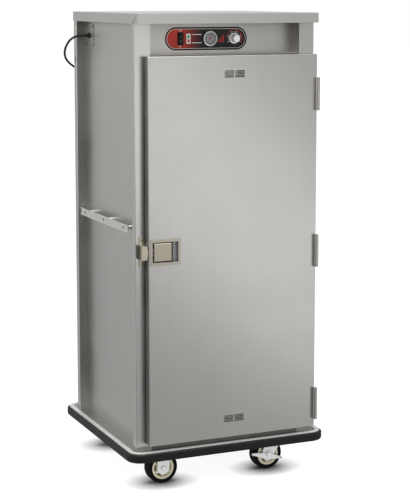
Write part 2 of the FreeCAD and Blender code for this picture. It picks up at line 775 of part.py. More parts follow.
def switch_rocker():
    """Black rocker with a dished face and a pivot pin, tipped to one side."""
    half_x = SWITCH_W / 2 - SWITCH_FLANGE_W - SWITCH_WALL - ROCKER_GAP
    half_z = SWITCH_H / 2 - SWITCH_FLANGE_W - SWITCH_WALL - ROCKER_GAP
    pivot_y = rocker_place()
    front = OVERLAY_Y - SWITCH_FLANGE_T - ROCKER_PROUD
    profile = (
        (SWITCH_X - half_x, pivot_y + ROCKER_BACK, OVERLAY_Z - half_z),
        (SWITCH_X - half_x, front, OVERLAY_Z - half_z),
        (SWITCH_X - half_x, front + ROCKER_DIP, OVERLAY_Z),
        (SWITCH_X - half_x, front, OVERLAY_Z + half_z),
        (SWITCH_X - half_x, pivot_y + ROCKER_BACK, OVERLAY_Z + half_z),
    )
    body = prism(profile, FreeCAD.Vector(2 * half_x, 0, 0))
    body = body.common(rod_x(centred(SWITCH_X, half_x), pivot_y, OVERLAY_Z, half_z))
    pin_reach = half_x + ROCKER_GAP + ROCKER_PIN_IN - PIN_FIT
    body = body.fuse(rod_x(centred(SWITCH_X, pin_reach), pivot_y, OVERLAY_Z, ROCKER_PIN_R)).removeSplitter()
    body.rotate(FreeCAD.Vector(SWITCH_X, pivot_y, OVERLAY_Z), X_AXIS, ROCKER_TILT)
    return body


def lens_centres():
    """Heights of the green and the red lens."""
    return (OVERLAY_Z + LENS_PITCH / 2, OVERLAY_Z - LENS_PITCH / 2)


def lamp_bezel():
    """Pale lamp housing with two windows."""
    front = OVERLAY_Y - LAMP_FLANGE_T
    body_x = LAMP_W / 2 - LAMP_FLANGE_W
    body_z = LAMP_H / 2 - LAMP_FLANGE_W
    flange = block(centred(LAMP_X, LAMP_W / 2), (front, OVERLAY_Y), centred(OVERLAY_Z, LAMP_H / 2))
    body_y = (OVERLAY_Y, OVERLAY_Y + LAMP_BODY_DEPTH)
    body = block(centred(LAMP_X, body_x), body_y, centred(OVERLAY_Z, body_z))
    windows = []
    for z in lens_centres():
        across = centred(LAMP_X, LENS_W / 2 + FIT)
        windows.append(block(across, (front, front + LENS_DEPTH), centred(z, LENS_H / 2 + FIT)))
    return flange.fuse(body).removeSplitter().cut(windows)


def lens(z):
    """Square lamp lens seated in its window."""
    front = OVERLAY_Y - LAMP_FLANGE_T - LENS_PROUD
    y = (front, front + LENS_PROUD + LENS_DEPTH)
    body = block(centred(LAMP_X, LENS_W / 2), y, centred(z, LENS_H / 2))
    face = [edge for edge in body.Edges if edge.BoundBox.YMax < front + LENS_PROUD / 2]
    return body.makeFillet(LENS_PROUD / 2, face)


def thermometer_case():
    """Round case with a bright bezel and a cup behind the fascia."""
    front = OVERLAY_Y - METER_FLANGE_T
    flange = rod_y(METER_X, (front, OVERLAY_Y), OVERLAY_Z, METER_R)
    front_edge = [edge for edge in flange.Edges if edge.BoundBox.YMax < front + METER_FLANGE_T / 2]
    flange = flange.makeFillet(METER_BEZEL_W / 2, front_edge)
    cup = rod_y(METER_X, (OVERLAY_Y, OVERLAY_Y + METER_CUP_DEPTH), OVERLAY_Z, METER_CUP_R)
    inner = METER_CUP_R - METER_CUP_WALL
    room = rod_y(METER_X, (front, OVERLAY_Y + METER_CUP_DEPTH - METER_CUP_WALL), OVERLAY_Z, inner)
    return flange.fuse(cup).removeSplitter().cut(room)


def dial_face_y():
    """Front face of the thermometer dial."""
    return OVERLAY_Y - METER_FLANGE_T + GLASS_SEAT + GLASS_T + NEEDLE_T + 2 * NEEDLE_GAP + DIAL_BACK


def thermometer_dial():
    """Dial disc on a back drum, with the pin that carries the needle."""
    face = dial_face_y()
    inner = METER_CUP_R - METER_CUP_WALL - FIT
    disc = rod_y(METER_X, (face, face + DIAL_T), OVERLAY_Z, inner)
    drum = rod_y(METER_X, (face + DIAL_T, OVERLAY_Y + METER_CUP_DEPTH - METER_CUP_WALL), OVERLAY_Z, inner / 2)
    pin = rod_y(METER_X, (face - DIAL_BACK - NEEDLE_T, face), OVERLAY_Z, DIAL_PIN_R)
    return disc.fuse([drum, pin]).removeSplitter()


def thermometer_needle():
    """Slim pointer turning on the dial's pin."""
    y = (dial_face_y() - DIAL_BACK - NEEDLE_T, dial_face_y() - DIAL_BACK)
    half = NEEDLE_W / 2
    outline = (
        (METER_X - half, y[0], OVERLAY_Z - NEEDLE_TAIL),
        (METER_X + half, y[0], OVERLAY_Z - NEEDLE_TAIL),
        (METER_X, y[0], OVERLAY_Z + NEEDLE_L),
    )
    pointer = prism(outline, FreeCAD.Vector(0, NEEDLE_T, 0))
    hub = rod_y(METER_X, (y[0], y[1] + DIAL_BACK - NEEDLE_GAP), OVERLAY_Z, NEEDLE_HUB_R)
    needle = hub.fuse(pointer).removeSplitter()
    needle = needle.cut(rod_y(METER_X, (y[0], y[1] + DIAL_BACK), OVERLAY_Z, DIAL_PIN_R + PIN_FIT))
    needle.rotate(FreeCAD.Vector(METER_X, 0, OVERLAY_Z), Y_AXIS, NEEDLE_ANGLE)
    return needle


def thermometer_glass():
    """Flat glass held inside the bezel."""
    low = OVERLAY_Y - METER_FLANGE_T + GLASS_SEAT
    return rod_y(METER_X, (low, low + GLASS_T), OVERLAY_Z, METER_CUP_R - METER_CUP_WALL - FIT)


def thermostat_body():
    """Thermostat behind the fascia with its shaft through to the knob."""
    y = (FASCIA_Y + SHEET, FASCIA_Y + SHEET + THERMOSTAT_DEPTH)
    body = block(centred(KNOB_X, THERMOSTAT_W / 2), y, centred(OVERLAY_Z, THERMOSTAT_W / 2))
    tip = OVERLAY_Y - KNOB_GAP - KNOB_BORE_DEPTH + FIT
    return body.fuse(rod_y(KNOB_X, (tip, y[0]), OVERLAY_Z, SHAFT_R)).removeSplitter()


def thermostat_knob():
    """Fluted knob on a round skirt."""
    back = OVERLAY_Y - KNOB_GAP
    skirt = rod_y(KNOB_X, (back - KNOB_SKIRT_T, back), OVERLAY_Z, KNOB_SKIRT_R)
    skirt_edge = [edge for edge in skirt.Edges if edge.BoundBox.YMax < back - KNOB_SKIRT_T / 2]
    skirt = skirt.makeFillet(KNOB_EDGE, skirt_edge)
    grip = rod_y(KNOB_X, (back - KNOB_L, back - KNOB_SKIRT_T), OVERLAY_Z, KNOB_R)
    grip_edge = [edge for edge in grip.Edges if edge.BoundBox.YMax < back - KNOB_SKIRT_T - KNOB_EDGE]
    grip = grip.makeFillet(KNOB_EDGE, grip_edge)
    flutes = []
    for index in range(KNOB_FLUTES):
        angle = 2 * math.pi * (index + 0.5) / KNOB_FLUTES
        x = KNOB_X + KNOB_R * math.cos(angle)
        z = OVERLAY_Z + KNOB_R * math.sin(angle)
        flutes.append(rod_y(x, (back - KNOB_L, back - KNOB_SKIRT_T), z, KNOB_FLUTE_R))
    bore = rod_y(KNOB_X, (back - KNOB_BORE_DEPTH, back), OVERLAY_Z, SHAFT_R + PIN_FIT)
    return skirt.fuse(grip.cut(flutes)).removeSplitter().cut(bore)


def cavity_liner():
    """Open-fronted inner box of five sheets."""
    depth = (FRONT_Y, LINER_REAR_Y)
    across = centred(0, CAVITY_X)
    side = block((CAVITY_X, POST_IN_X), depth, (SILL_TOP_Z, HEADER_LOW_Z))
    floor = block(across, depth, (SILL_TOP_Z, CAVITY_FLOOR_Z))
    ceiling = block(across, depth, (CAVITY_TOP_Z, HEADER_LOW_Z))
    rear = block(across, (CAVITY_REAR_Y, LINER_REAR_Y), (CAVITY_FLOOR_Z, CAVITY_TOP_Z))
    return Part.makeCompound([side, mirrored(side), floor, ceiling, rear])


def wall_insulation():
    """Insulation slabs round the liner."""
    behind_rail = FRONT_Y + RAIL_DEPTH + CORE_GAP
    wall_y = (POST_FRONT_BACK_Y + SHEET + CORE_GAP, POST_REAR_FACE_Y - SHEET - CORE_GAP)
    side_z = (DECK_Z + CORE_GAP, HEADER_TOP_Z - CORE_GAP)
    side = block((POST_IN_X + CORE_GAP, PANEL_X - SHEET - CORE_GAP), wall_y, side_z)
    across = centred(0, POST_IN_X - CORE_GAP)
    rear_y = (LINER_REAR_Y + CORE_GAP, REAR_PANEL_Y - SHEET - CORE_GAP)
    rear = block(across, rear_y, side_z)
    slab_y = (behind_rail, LINER_REAR_Y)
    top = block(across, slab_y, (HEADER_LOW_Z + CORE_GAP, HEADER_TOP_Z - CORE_GAP))
    bottom = block(across, slab_y, (DECK_Z + CORE_GAP, SILL_TOP_Z - CORE_GAP))
    return Part.makeCompound([side, mirrored(side), rear, top, bottom])


def shelf_levels():
    """Heights of the shelves' undersides."""
    return [SHELF_FIRST_Z + index * SHELF_PITCH for index in range(SHELF_COUNT)]


def upright_places():
    """Middles of the front and rear uprights in Y."""
    return (CAVITY_MID_Y - UPRIGHT_Y, CAVITY_MID_Y + UPRIGHT_Y)


def shelf_uprights():
    """Channels on the side walls with a clip-on ledge under each shelf."""
    uprights = []
    z = (CAVITY_FLOOR_Z + UPRIGHT_END_GAP, CAVITY_TOP_Z - UPRIGHT_END_GAP)
    face_x = CAVITY_X - UPRIGHT_DEPTH
    for y in upright_places():
        channel = block((face_x, CAVITY_X), centred(y, UPRIGHT_W / 2), z)
        room = block((face_x + UPRIGHT_WALL, CAVITY_X), centred(y, UPRIGHT_W / 2 - UPRIGHT_WALL), z)
        channel = channel.cut(room)
        uprights += [channel, mirrored(channel)]
        for level in shelf_levels():
            ledge_z = (level - LEDGE_T, level)
            ledge = block((face_x - LEDGE_REACH, face_x), centred(y, UPRIGHT_W / 2), ledge_z)
            uprights += [ledge, mirrored(ledge)]
    return Part.makeCompound(uprights)


def shelves():
    """Flat grille shelves resting on the ledges."""
    half_x = CAVITY_X - UPRIGHT_DEPTH - SHELF_SIDE_GAP
    y = (FRONT_Y + SHELF_END_GAP, CAVITY_REAR_Y - SHELF_END_GAP)
    step = (y[1] - y[0] - SHELF_BAR) / SHELF_GAP_COUNT
    made = []
    for level in shelf_levels():
        z = (level, level + SHELF_T)
        plate = block(centred(0, half_x), y, z)
        gaps = []
        for index in range(SHELF_GAP_COUNT):
            low = y[0] + SHELF_BAR + index * step
            gap_y = (low, low + step - SHELF_BAR)
            for side in (-1, 1):
                middle = side * half_x / 2
                gaps.append(block(centred(middle, half_x / 2 - SHELF_BAR), gap_y, z))
        made.append(plate.cut(gaps))
    return Part.makeCompound(made)


def heater_element():
    """Sheathed element bent to and fro above the cavity floor, its ends in the rear wall."""
    z = CAVITY_FLOOR_Z + ELEMENT_LIFT
    bend = ELEMENT_PITCH / 2
    front = FRONT_Y + ELEMENT_FRONT_GAP + bend
    rear = COVER_REAR_Y - COVER_T - ELEMENT_PITCH
    first = -ELEMENT_PITCH * (ELEMENT_LEGS - 1) / 2
    edges = []
    for leg in range(ELEMENT_LEGS):
        x = first + leg * ELEMENT_PITCH
        forward = leg % 2 == 0
        start_y = CAVITY_REAR_Y if leg == 0 else (rear if forward else front)
        end_y = CAVITY_REAR_Y if leg == ELEMENT_LEGS - 1 else (front if forward else rear)
        start = FreeCAD.Vector(x, start_y, z)
        end = FreeCAD.Vector(x, end_y, z)
        edges.append(Part.LineSegment(start, end).toShape())
        if leg < ELEMENT_LEGS - 1:
            crown_y = front - bend if forward else rear + bend
            crown = FreeCAD.Vector(x + bend, crown_y, z)
            edges.append(Part.Arc(end, crown, FreeCAD.Vector(x + ELEMENT_PITCH, end_y, z)).toShape())
    return tube(edges, ELEMENT_R, "heater element")


def heater_cover():
    """Slotted cover standing over the element."""
    y = (COVER_REAR_Y - COVER_D, COVER_REAR_Y)
    z = (CAVITY_FLOOR_Z, CAVITY_FLOOR_Z + COVER_H)
    box = block(centred(0, COVER_W / 2), y, z)
    inside_y = (y[0] + COVER_T, y[1] - COVER_T)
    box = box.cut(block(centred(0, COVER_W / 2 - COVER_T), inside_y, (z[0], z[1] - COVER_T)))
    column = COVER_W / COVER_COLUMNS
    row = COVER_D / COVER_ROWS
    slots = []
    for across in range(COVER_COLUMNS):
        x = -COVER_W / 2 + (across + 0.5) * column
        for along in range(COVER_ROWS):
            middle = y[0] + (along + 0.5) * row
            slot_y = centred(middle, COVER_SLOT_W / 2)
            slots.append(block(centred(x, COVER_SLOT_L / 2), slot_y, (z[1] - COVER_T, z[1])))
    holes = []
    first = -ELEMENT_PITCH * (ELEMENT_LEGS - 1) / 2
    for x in (first, -first):
        hole_y = (y[1] - COVER_T, y[1])
        holes.append(rod_y(x, hole_y, CAVITY_FLOOR_Z + ELEMENT_LIFT, ELEMENT_R + FIT))
    return box.cut(slots + holes)


def cord_plate():
    """Cover plate on the left side panel where the lead comes out."""
    x = (-PANEL_X - PLATE_T, -PANEL_X)
    return block(x, centred(PLATE_Y, PLATE_W / 2), centred(PLATE_Z, PLATE_H / 2))


def cord_gland():
    """Flanged strain relief whose tapered sleeve leans to the rear."""
    root = -PANEL_X - PLATE_T
    flange = rod_x((GLAND_FACE_X, root), PLATE_Y, PLATE_Z, GLAND_R)
    sunk = GLAND_ROOT_R * GLAND_BACK / GLAND_OUT
    foot = FreeCAD.Vector(GLAND_FACE_X + sunk * GLAND_OUT, PLATE_Y - sunk * GLAND_BACK, PLATE_Z)
    lean = FreeCAD.Vector(-GLAND_OUT, GLAND_BACK, 0)
    sleeve = Part.makeCone(GLAND_ROOT_R, GLAND_TIP_R, GLAND_L + sunk, foot, lean)
    behind = block((root, root + GLAND_L), centred(PLATE_Y, PLATE_W / 2), centred(PLATE_Z, PLATE_H / 2))
    return flange.fuse(sleeve.cut(behind)).removeSplitter()


def cord_lead():
    """The lead from the gland to its coil behind the cabinet."""
    route = []
    for anchor, steps in LEAD_ANCHORS:
        route += [FreeCAD.Vector(*anchor).add(FreeCAD.Vector(*step)) for step in steps]
    edges, radii = route_edges(route)
    print("lead bend radii", radii)
    return tube(edges, CORD_R, "lead")


def coil_turns():
    """Turns from one end of the coil to the other."""
    return 2 * COIL_SPIRAL_TURNS + COIL_CROSS_TURNS


def coil_point(turn):
    """Point of the coil's line after some turns: in along one layer, across, and out along the next."""
    if turn < COIL_SPIRAL_TURNS:
        radius = COIL_OUTER_R - COIL_PITCH * turn
        climb = 0.0
    elif turn < COIL_SPIRAL_TURNS + COIL_CROSS_TURNS:
        radius = COIL_INNER_R
        share = (turn - COIL_SPIRAL_TURNS) / COIL_CROSS_TURNS
        climb = share * share * (3 - 2 * share)
    else:
        radius = COIL_OUTER_R - COIL_PITCH * (coil_turns() - turn)
        climb = 1.0
    angle = math.pi + 2 * math.pi * turn
    x = COIL_X + radius * math.cos(angle)
    z = COIL_Z + radius * math.sin(angle)
    return FreeCAD.Vector(x, COIL_Y + climb * COIL_LAYER, z)


def self_gap(points, width, apart):
    """Least clear space between stretches of a tube that lie apart along its line."""
    least = width * len(points)
    for index, point in enumerate(points):
        for other in points[index + apart:]:
            least = min(least, point.distanceToPoint(other))
    return least - width


def cord_coil():
    """The rest of the lead, wound in two layers, with a straight tail down to the plug."""
    steps = round(coil_turns() * 4)
    stations = [coil_point(coil_turns() * index / steps) for index in range(steps + 1)]
    nudge = 1 / (1000 * coil_turns())
    headings = [DOWN]
    for index in range(1, steps):
        turn = coil_turns() * index / steps
        headings.append(coil_point(turn + nudge).sub(coil_point(turn - nudge)).normalize())
    headings.append(DOWN)
    edges = []
    for index in range(steps):
        edges += biarc(stations[index], headings[index], stations[index + 1], headings[index + 1])
    tail = stations[-1].add(FreeCAD.Vector(DOWN).multiply(COIL_TAIL))
    edges.append(Part.LineSegment(stations[-1], tail).toShape())
    per_edge = 8
    line = []
    for edge in edges:
        span = edge.LastParameter - edge.FirstParameter
        line += [edge.valueAt(edge.FirstParameter + span * part / per_edge) for part in range(per_edge)]
    print("coil least gap to itself", round(self_gap(line, CORD_D, per_edge * 4), 2))
    return tube(edges, CORD_R, "coil")


def cord_plug():
    """Moulded three-pin plug hanging on the coil's tail."""
    x = COIL_START_X
    y = COIL_LAST_Y
    top = COIL_Z - COIL_TAIL
    neck_top = FreeCAD.Vector(x, y, top)
    neck = Part.makeCone(CORD_R + PLUG_NECK_WALL, PLUG_NECK_R, PLUG_NECK_L, neck_top, DOWN)
    body_top = top - PLUG_NECK_L
    body_low = body_top - PLUG_L + PLUG_NECK_L
    body = block(centred(x, PLUG_W / 2), centred(y, PLUG_D / 2), (body_low, body_top))
    sides = [edge for edge in body.Edges if edge.BoundBox.ZLength > PLUG_EDGE]
    body = body.makeFillet(PLUG_EDGE, sides)
    pins = []
    for side in (-1, 1):
        middle = x + side * BLADE_PITCH / 2
        blade_y = centred(y - EARTH_OFFSET / 2, BLADE_W / 2)
        pins.append(block(centred(middle, BLADE_T / 2), blade_y, (body_low - BLADE_L, body_low)))
    pins.append(rod_z(x, y + EARTH_OFFSET, (body_low - EARTH_L, body_low), EARTH_R))
    return body.fuse([neck] + pins).removeSplitter()


def cord_hook():
    """Peg hook on the rear panel that the coil hangs from."""
    z = COIL_Z + COIL_INNER_R - CORD_R - HOOK_GAP - HOOK_R
    plate_y = (REAR_PANEL_Y, REAR_PANEL_Y + HOOK_PLATE_T)
    plate = block(centred(COIL_X, HOOK_R + HOOK_PLATE_T), plate_y, (z - HOOK_PLATE, z + HOOK_R))
    peg = rod_y(COIL_X, (REAR_PANEL_Y, REAR_PANEL_Y + HOOK_REACH), z, HOOK_R)
    tip = rod_z(COIL_X, REAR_PANEL_Y + HOOK_REACH, (z, z + HOOK_TIP), HOOK_R)
    ball = Part.makeSphere(HOOK_R, FreeCAD.Vector(COIL_X, REAR_PANEL_Y + HOOK_REACH, z))
    return plate.fuse([peg, tip, ball]).removeSplitter()


def handle_screw_places():
    """Screw positions along a handle."""
    return (HANDLE_Y - HANDLE_SCREW_PITCH, HANDLE_Y, HANDLE_Y + HANDLE_SCREW_PITCH)


def side_handles():
    """Shallow channel bars on both sides, hollow side out."""
    x = (BODY_X - HANDLE_T, BODY_X + HANDLE_FLANGE)
    y = centred(HANDLE_Y, HANDLE_L / 2)
    bar = block(x, y, centred(HANDLE_Z, HANDLE_H / 2))
    bar = bar.cut(block((BODY_X, x[1]), y, centred(HANDLE_Z, HANDLE_H / 2 - HANDLE_T)))
    lips = [edge for edge in bar.Edges if edge.BoundBox.XMin > x[1] - TINY and edge.Length > HANDLE_H]
    return pair(bar.makeFillet(HANDLE_T / 3, lips))


def handle_spacers():
    """Round spacers between the handles and the side panels."""
    made = []
    for y in handle_screw_places():
        spacer = rod_x((PANEL_X, BODY_X - HANDLE_T), y, HANDLE_Z, SPACER_R)
        made += [spacer, mirrored(spacer)]
    return Part.makeCompound(made)


def screw_head(place, direction):
    """Domed screw head with a crossed recess, facing along a direction."""
    head = Part.makeCylinder(SCREW_R, SCREW_H)
    head = head.makeFillet(SCREW_DOME, [edge for edge in head.Edges if edge.BoundBox.ZMin > SCREW_H / 2])
    arm = centred(0, SCREW_ARM)
    slot = centred(0, SCREW_SLOT / 2)
    depth = (SCREW_H / 2, SCREW_H)
    head = head.cut([block(arm, slot, depth), block(slot, arm, depth)])
    head.Placement = FreeCAD.Placement(FreeCAD.Vector(*place), FreeCAD.Rotation(Z_AXIS, direction))
    return head


def caster_bolt(x, y):
    """Hexagon bolt head under a caster plate."""
    corners = []
    for index in range(6):
        angle = math.pi * index / 3
        corner_x = x + CASTER_BOLT_R * math.cos(angle)
        corner_y = y + CASTER_BOLT_R * math.sin(angle)
        corners.append((corner_x, corner_y, PLATE_LOW_Z - CASTER_BOLT_H))
    return prism(corners, FreeCAD.Vector(0, 0, CASTER_BOLT_H))


def fasteners():
    """Screw heads on the handles, cord plate, strike and hinges, and the caster bolts."""
    left = FreeCAD.Vector(-1, 0, 0)
    front = FreeCAD.Vector(0, -1, 0)
    heads = []
    for y in handle_screw_places():
        heads.append(screw_head((-BODY_X, y, HANDLE_Z), left))
        heads.append(screw_head((BODY_X, y, HANDLE_Z), X_AXIS))
    for side_y in (-1, 1):
        for side_z in (-1, 1):
            y = PLATE_Y + side_y * (PLATE_W / 2 - PLATE_SCREW_IN)
            z = PLATE_Z + side_z * (PLATE_H / 2 - PLATE_SCREW_IN)
            heads.append(screw_head((-PANEL_X - PLATE_T, y, z), left))
    for side in (-1, 1):
        z = LATCH_Z + side * STRIKE_SCREW_PITCH / 2
        heads.append(screw_head((STRIKE_HIGH_X - STRIKE_EAR_W / 2, FRONT_Y - STRIKE_EAR_T, z), front))
    for z in HINGE_ZS:
        for side in (-1, 1):
            screw_z = z - HINGE_H / 4 + side * HINGE_SCREW_PITCH / 2
            screw_y = FRONT_Y + HINGE_LEAF_REACH / 2
            heads.append(screw_head((BODY_X + HINGE_LEAF_T, screw_y, screw_z), X_AXIS))
    for side_x in (-1, 1):
        for side_y in (-1, 1):
            for corner_x in (-1, 1):
                for corner_y in (-1, 1):
                    x = side_x * CASTER_X + corner_x * CASTER_BOLT_X / 2
                    y = side_y * CASTER_Y + corner_y * CASTER_BOLT_Y / 2
                    heads.append(caster_bolt(x, y))
    return Part.makeCompound(heads)


def latch_strike():
    """Strike on the left post: two ears and a block with a pocket for the bolt."""
    low_x = STRIKE_HIGH_X - STRIKE_EAR_W
    ears_z = centred(LATCH_Z, STRIKE_H / 2)
    ears = block((low_x, STRIKE_HIGH_X), (FRONT_Y - STRIKE_EAR_T, FRONT_Y), ears_z)
    block_x = (STRIKE_HIGH_X - STRIKE_LIP_REACH - STRIKE_BLOCK_W, STRIKE_HIGH_X - STRIKE_LIP_REACH)
    lip_back = BOLT_FRONT_Y - STRIKE_BOLT_GAP
    lip_front = lip_back - STRIKE_LIP_T
    body = block(block_x, (lip_front, FRONT_Y), centred(LATCH_Z, STRIKE_BLOCK_H / 2))
    tongue_x = (block_x[1] - STRIKE_WALL, STRIKE_HIGH_X)
    tongue = block(tongue_x, (lip_front, lip_back), centred(LATCH_Z, STRIKE_LIP_H / 2))
    pocket_x = (block_x[0] + STRIKE_WALL, block_x[1])
    pocket_z = centred(LATCH_Z, STRIKE_BLOCK_H / 2 - STRIKE_WALL)
    pocket = block(pocket_x, (lip_back, FRONT_Y - STRIKE_EAR_T), pocket_z)
    return body.cut(pocket).fuse([ears, tongue]).removeSplitter()


def hinge_frame_halves():
    """Lower hinge halves on the right post, each with a thrust collar and its pin standing up."""
    made = []
    for z in HINGE_ZS:
        low = z - HINGE_H / 2
        split = z - HINGE_SPLIT_GAP / 2
        high = split - HINGE_GROOVE_H
        knuckle = rod_z(HINGE_X, HINGE_Y, (low, high), HINGE_R)
        collar = rod_z(HINGE_X, HINGE_Y, (low, split), HINGE_R - HINGE_GROOVE_IN)
        leaf_x = (BODY_X, BODY_X + HINGE_LEAF_T)
        leaf = block(leaf_x, (HINGE_Y, FRONT_Y + HINGE_LEAF_REACH), (low, high))
        pin_top = z + HINGE_H / 2 - HINGE_CAP_T - HINGE_SPLIT_GAP
        pin = rod_z(HINGE_X, HINGE_Y, (low, pin_top), HINGE_PIN_R)
        made.append(knuckle.fuse([collar, leaf, pin]).removeSplitter())
    return Part.makeCompound(made)


def hinge_door_halves():
    """Upper hinge halves on the door's edge."""
    made = []
    for z in HINGE_ZS:
        split = z + HINGE_SPLIT_GAP / 2
        high = z + HINGE_H / 2
        knuckle = rod_z(HINGE_X, HINGE_Y, (split, high), HINGE_R)
        leaf_x = (DOOR_HIGH_X, DOOR_HIGH_X + HINGE_LEAF_T)
        leaf = block(leaf_x, (HINGE_Y, DOOR_BACK_Y), (split, high))
        bore = rod_z(HINGE_X, HINGE_Y, (split, high - HINGE_CAP_T), HINGE_PIN_R + PIN_FIT)
        made.append(knuckle.fuse(leaf).removeSplitter().cut(bore))
    return Part.makeCompound(made)


def vent_middles():
    """Heights of the two vent groups."""
    return (DOOR_LOW_Z + VENT_BOTTOM_RISE, DOOR_HIGH_Z - VENT_TOP_DROP)


def vent_slits(y):
    """Two columns of level slits in each vent group."""
    width = (VENT_W - VENT_COLUMN_GAP) / 2
    pitch = (VENT_H - VENT_SLIT_H) / (VENT_ROWS - 1)
    slits = []
    for middle in vent_middles():
        for side in (-1, 1):
            x = DOOR_MID_X + side * (width + VENT_COLUMN_GAP) / 2
            for row in range(VENT_ROWS):
                z = middle - VENT_H / 2 + VENT_SLIT_H / 2 + row * pitch
                slits.append(block(centred(x, width / 2), y, centred(z, VENT_SLIT_H / 2)))
    return slits


def bolt_channel(fit):
    """Space the bolt runs in from the latch case out through the door's edge."""
    x = (DOOR_LOW_X, LATCH_LOW_X)
    return block(x, (BOLT_FRONT_Y - fit, BOLT_BACK_Y + fit), centred(LATCH_Z, BOLT_H / 2 + fit))


def latch_room(fit):
    """Space in the door for the latch case."""
    half_x = LATCH_OPEN_W / 2 + LATCH_PLATE_T + fit
    half_z = LATCH_OPEN_H / 2 + LATCH_PLATE_T + fit
    y = (DOOR_FRONT_Y, LATCH_BACK_Y + fit)
    return block(centred(LATCH_X, half_x), y, centred(LATCH_Z, half_z))


def door_skin():
    """Outer pan of the door."""
    x = (DOOR_LOW_X, DOOR_HIGH_X)
    z = (DOOR_LOW_Z, DOOR_HIGH_Z)
    pan = block(x, (DOOR_FRONT_Y, DOOR_BACK_Y), z)
    bends = [edge for edge in pan.Edges if edge.BoundBox.YMax < DOOR_FRONT_Y + SHEET]
    pan = pan.makeFillet(DOOR_BEND_R, bends)
    inside_x = (x[0] + SHEET, x[1] - SHEET)
    inside_z = (z[0] + SHEET, z[1] - SHEET)
    room = block(inside_x, (DOOR_FRONT_Y + SHEET, DOOR_BACK_Y), inside_z)
    inner_bends = [edge for edge in room.Edges if edge.BoundBox.YMax < DOOR_FRONT_Y + 2 * SHEET]
    pan = pan.cut(room.makeFillet(DOOR_BEND_R - SHEET, inner_bends))
    cuts = vent_slits((DOOR_FRONT_Y, DOOR_FRONT_Y + SHEET))
    return pan.cut(cuts + [latch_room(LATCH_CASE_FIT), bolt_channel(LATCH_CASE_FIT)])


def door_liner():
    """Inner sheet of the door."""
    x = (DOOR_LOW_X + SHEET, DOOR_HIGH_X - SHEET)
    z = (DOOR_LOW_Z + SHEET, DOOR_HIGH_Z - SHEET)
    y = (DOOR_BACK_Y - DOOR_LINER_T, DOOR_BACK_Y)
    return block(x, y, z).cut(vent_slits(y))


def door_core():
    """Insulation inside the door, cut away for the latch and the vent ducts."""
    x = (DOOR_LOW_X + SHEET + CORE_GAP, DOOR_HIGH_X - SHEET - CORE_GAP)
    z = (DOOR_LOW_Z + SHEET + CORE_GAP, DOOR_HIGH_Z - SHEET - CORE_GAP)
    y = (DOOR_FRONT_Y + SHEET + CORE_GAP, DOOR_BACK_Y - DOOR_LINER_T - CORE_GAP)
    slab = block(x, y, z)
    front = [edge for edge in slab.Edges if edge.BoundBox.YMax < y[0] + CORE_GAP]
    slab = slab.makeFillet(DOOR_BEND_R - SHEET, front)
    ducts = []
    for middle in vent_middles():
        ducts.append(block(centred(DOOR_MID_X, VENT_W / 2), y, centred(middle, VENT_H / 2)))
    return slab.cut(ducts + [latch_room(LATCH_CASE_FIT), bolt_channel(LATCH_CASE_FIT)])


def door_gasket():
    """Seal ring between the door and the front frame."""
    x = (DOOR_LOW_X + GASKET_INSET, DOOR_HIGH_X - GASKET_INSET)
    z = (DOOR_LOW_Z + GASKET_INSET, DOOR_HIGH_Z - GASKET_INSET)
    y = (DOOR_BACK_Y, FRONT_Y)
    inside_x = (x[0] + GASKET_W, x[1] - GASKET_W)
    inside_z = (z[0] + GASKET_W, z[1] - GASKET_W)
    return block(x, y, z).cut(block(inside_x, y, inside_z))


def latch_case():
    """Flush latch cup with its face plate."""
    plate_y = (DOOR_FRONT_Y - LATCH_PLATE_T, DOOR_FRONT_Y)
    plate = block(centred(LATCH_X, LATCH_PLATE_W / 2), plate_y, centred(LATCH_Z, LATCH_PLATE_H / 2))
    corners = [edge for edge in plate.Edges if edge.BoundBox.YLength > LATCH_PLATE_T / 2]
    plate = plate.makeFillet(LATCH_PLATE_T, corners)
    cup = latch_room(0)
    opening_y = (DOOR_FRONT_Y - LATCH_PLATE_T, LATCH_BACK_Y - LATCH_PLATE_T)
    opening = block(centred(LATCH_X, LATCH_OPEN_W / 2), opening_y, centred(LATCH_Z, LATCH_OPEN_H / 2))
    pin_z = centred(LATCH_Z, LATCH_OPEN_H / 2 + LATCH_PLATE_T)
    pins = rod_z(PADDLE_PIVOT_X, PADDLE_PIVOT_Y, pin_z, PADDLE_PIN_R + PIN_FIT)
    return plate.fuse(cup).removeSplitter().cut([opening, pins, bolt_channel(BOLT_FIT)])


def latch_paddle():
    """Pull paddle with bevelled sides, pivot pins and a lug behind that draws the bolt."""
    x = (PADDLE_LOW_X, PADDLE_LOW_X + PADDLE_W)
    y = (PADDLE_FRONT_Y, PADDLE_FRONT_Y + PADDLE_T)
    z = centred(LATCH_Z, PADDLE_H / 2)
    plate = block(x, y, z)
    rim = [edge for edge in plate.Edges if edge.BoundBox.YMax < y[0] + PADDLE_T / 2]
    plate = plate.makeChamfer(PADDLE_BEVEL, rim)
    pin_z = centred(LATCH_Z, LATCH_OPEN_H / 2 + LATCH_PLATE_T / 2)
    pin = rod_z(PADDLE_PIVOT_X, PADDLE_PIVOT_Y, pin_z, PADDLE_PIN_R)
    knuckle_y = (y[1], PADDLE_PIVOT_Y + PADDLE_PIN_R + PADDLE_KNUCKLE_WALL)
    knuckle = block(centred(PADDLE_PIVOT_X, LUG_T / 2), knuckle_y, z)
    lug_y = (y[1], PADDLE_PIVOT_Y + LUG_DEPTH)
    lug = block(centred(PADDLE_PIVOT_X, LUG_T / 2), lug_y, centred(LATCH_Z, LUG_H / 2))
    return plate.fuse([knuckle, pin, lug]).removeSplitter()


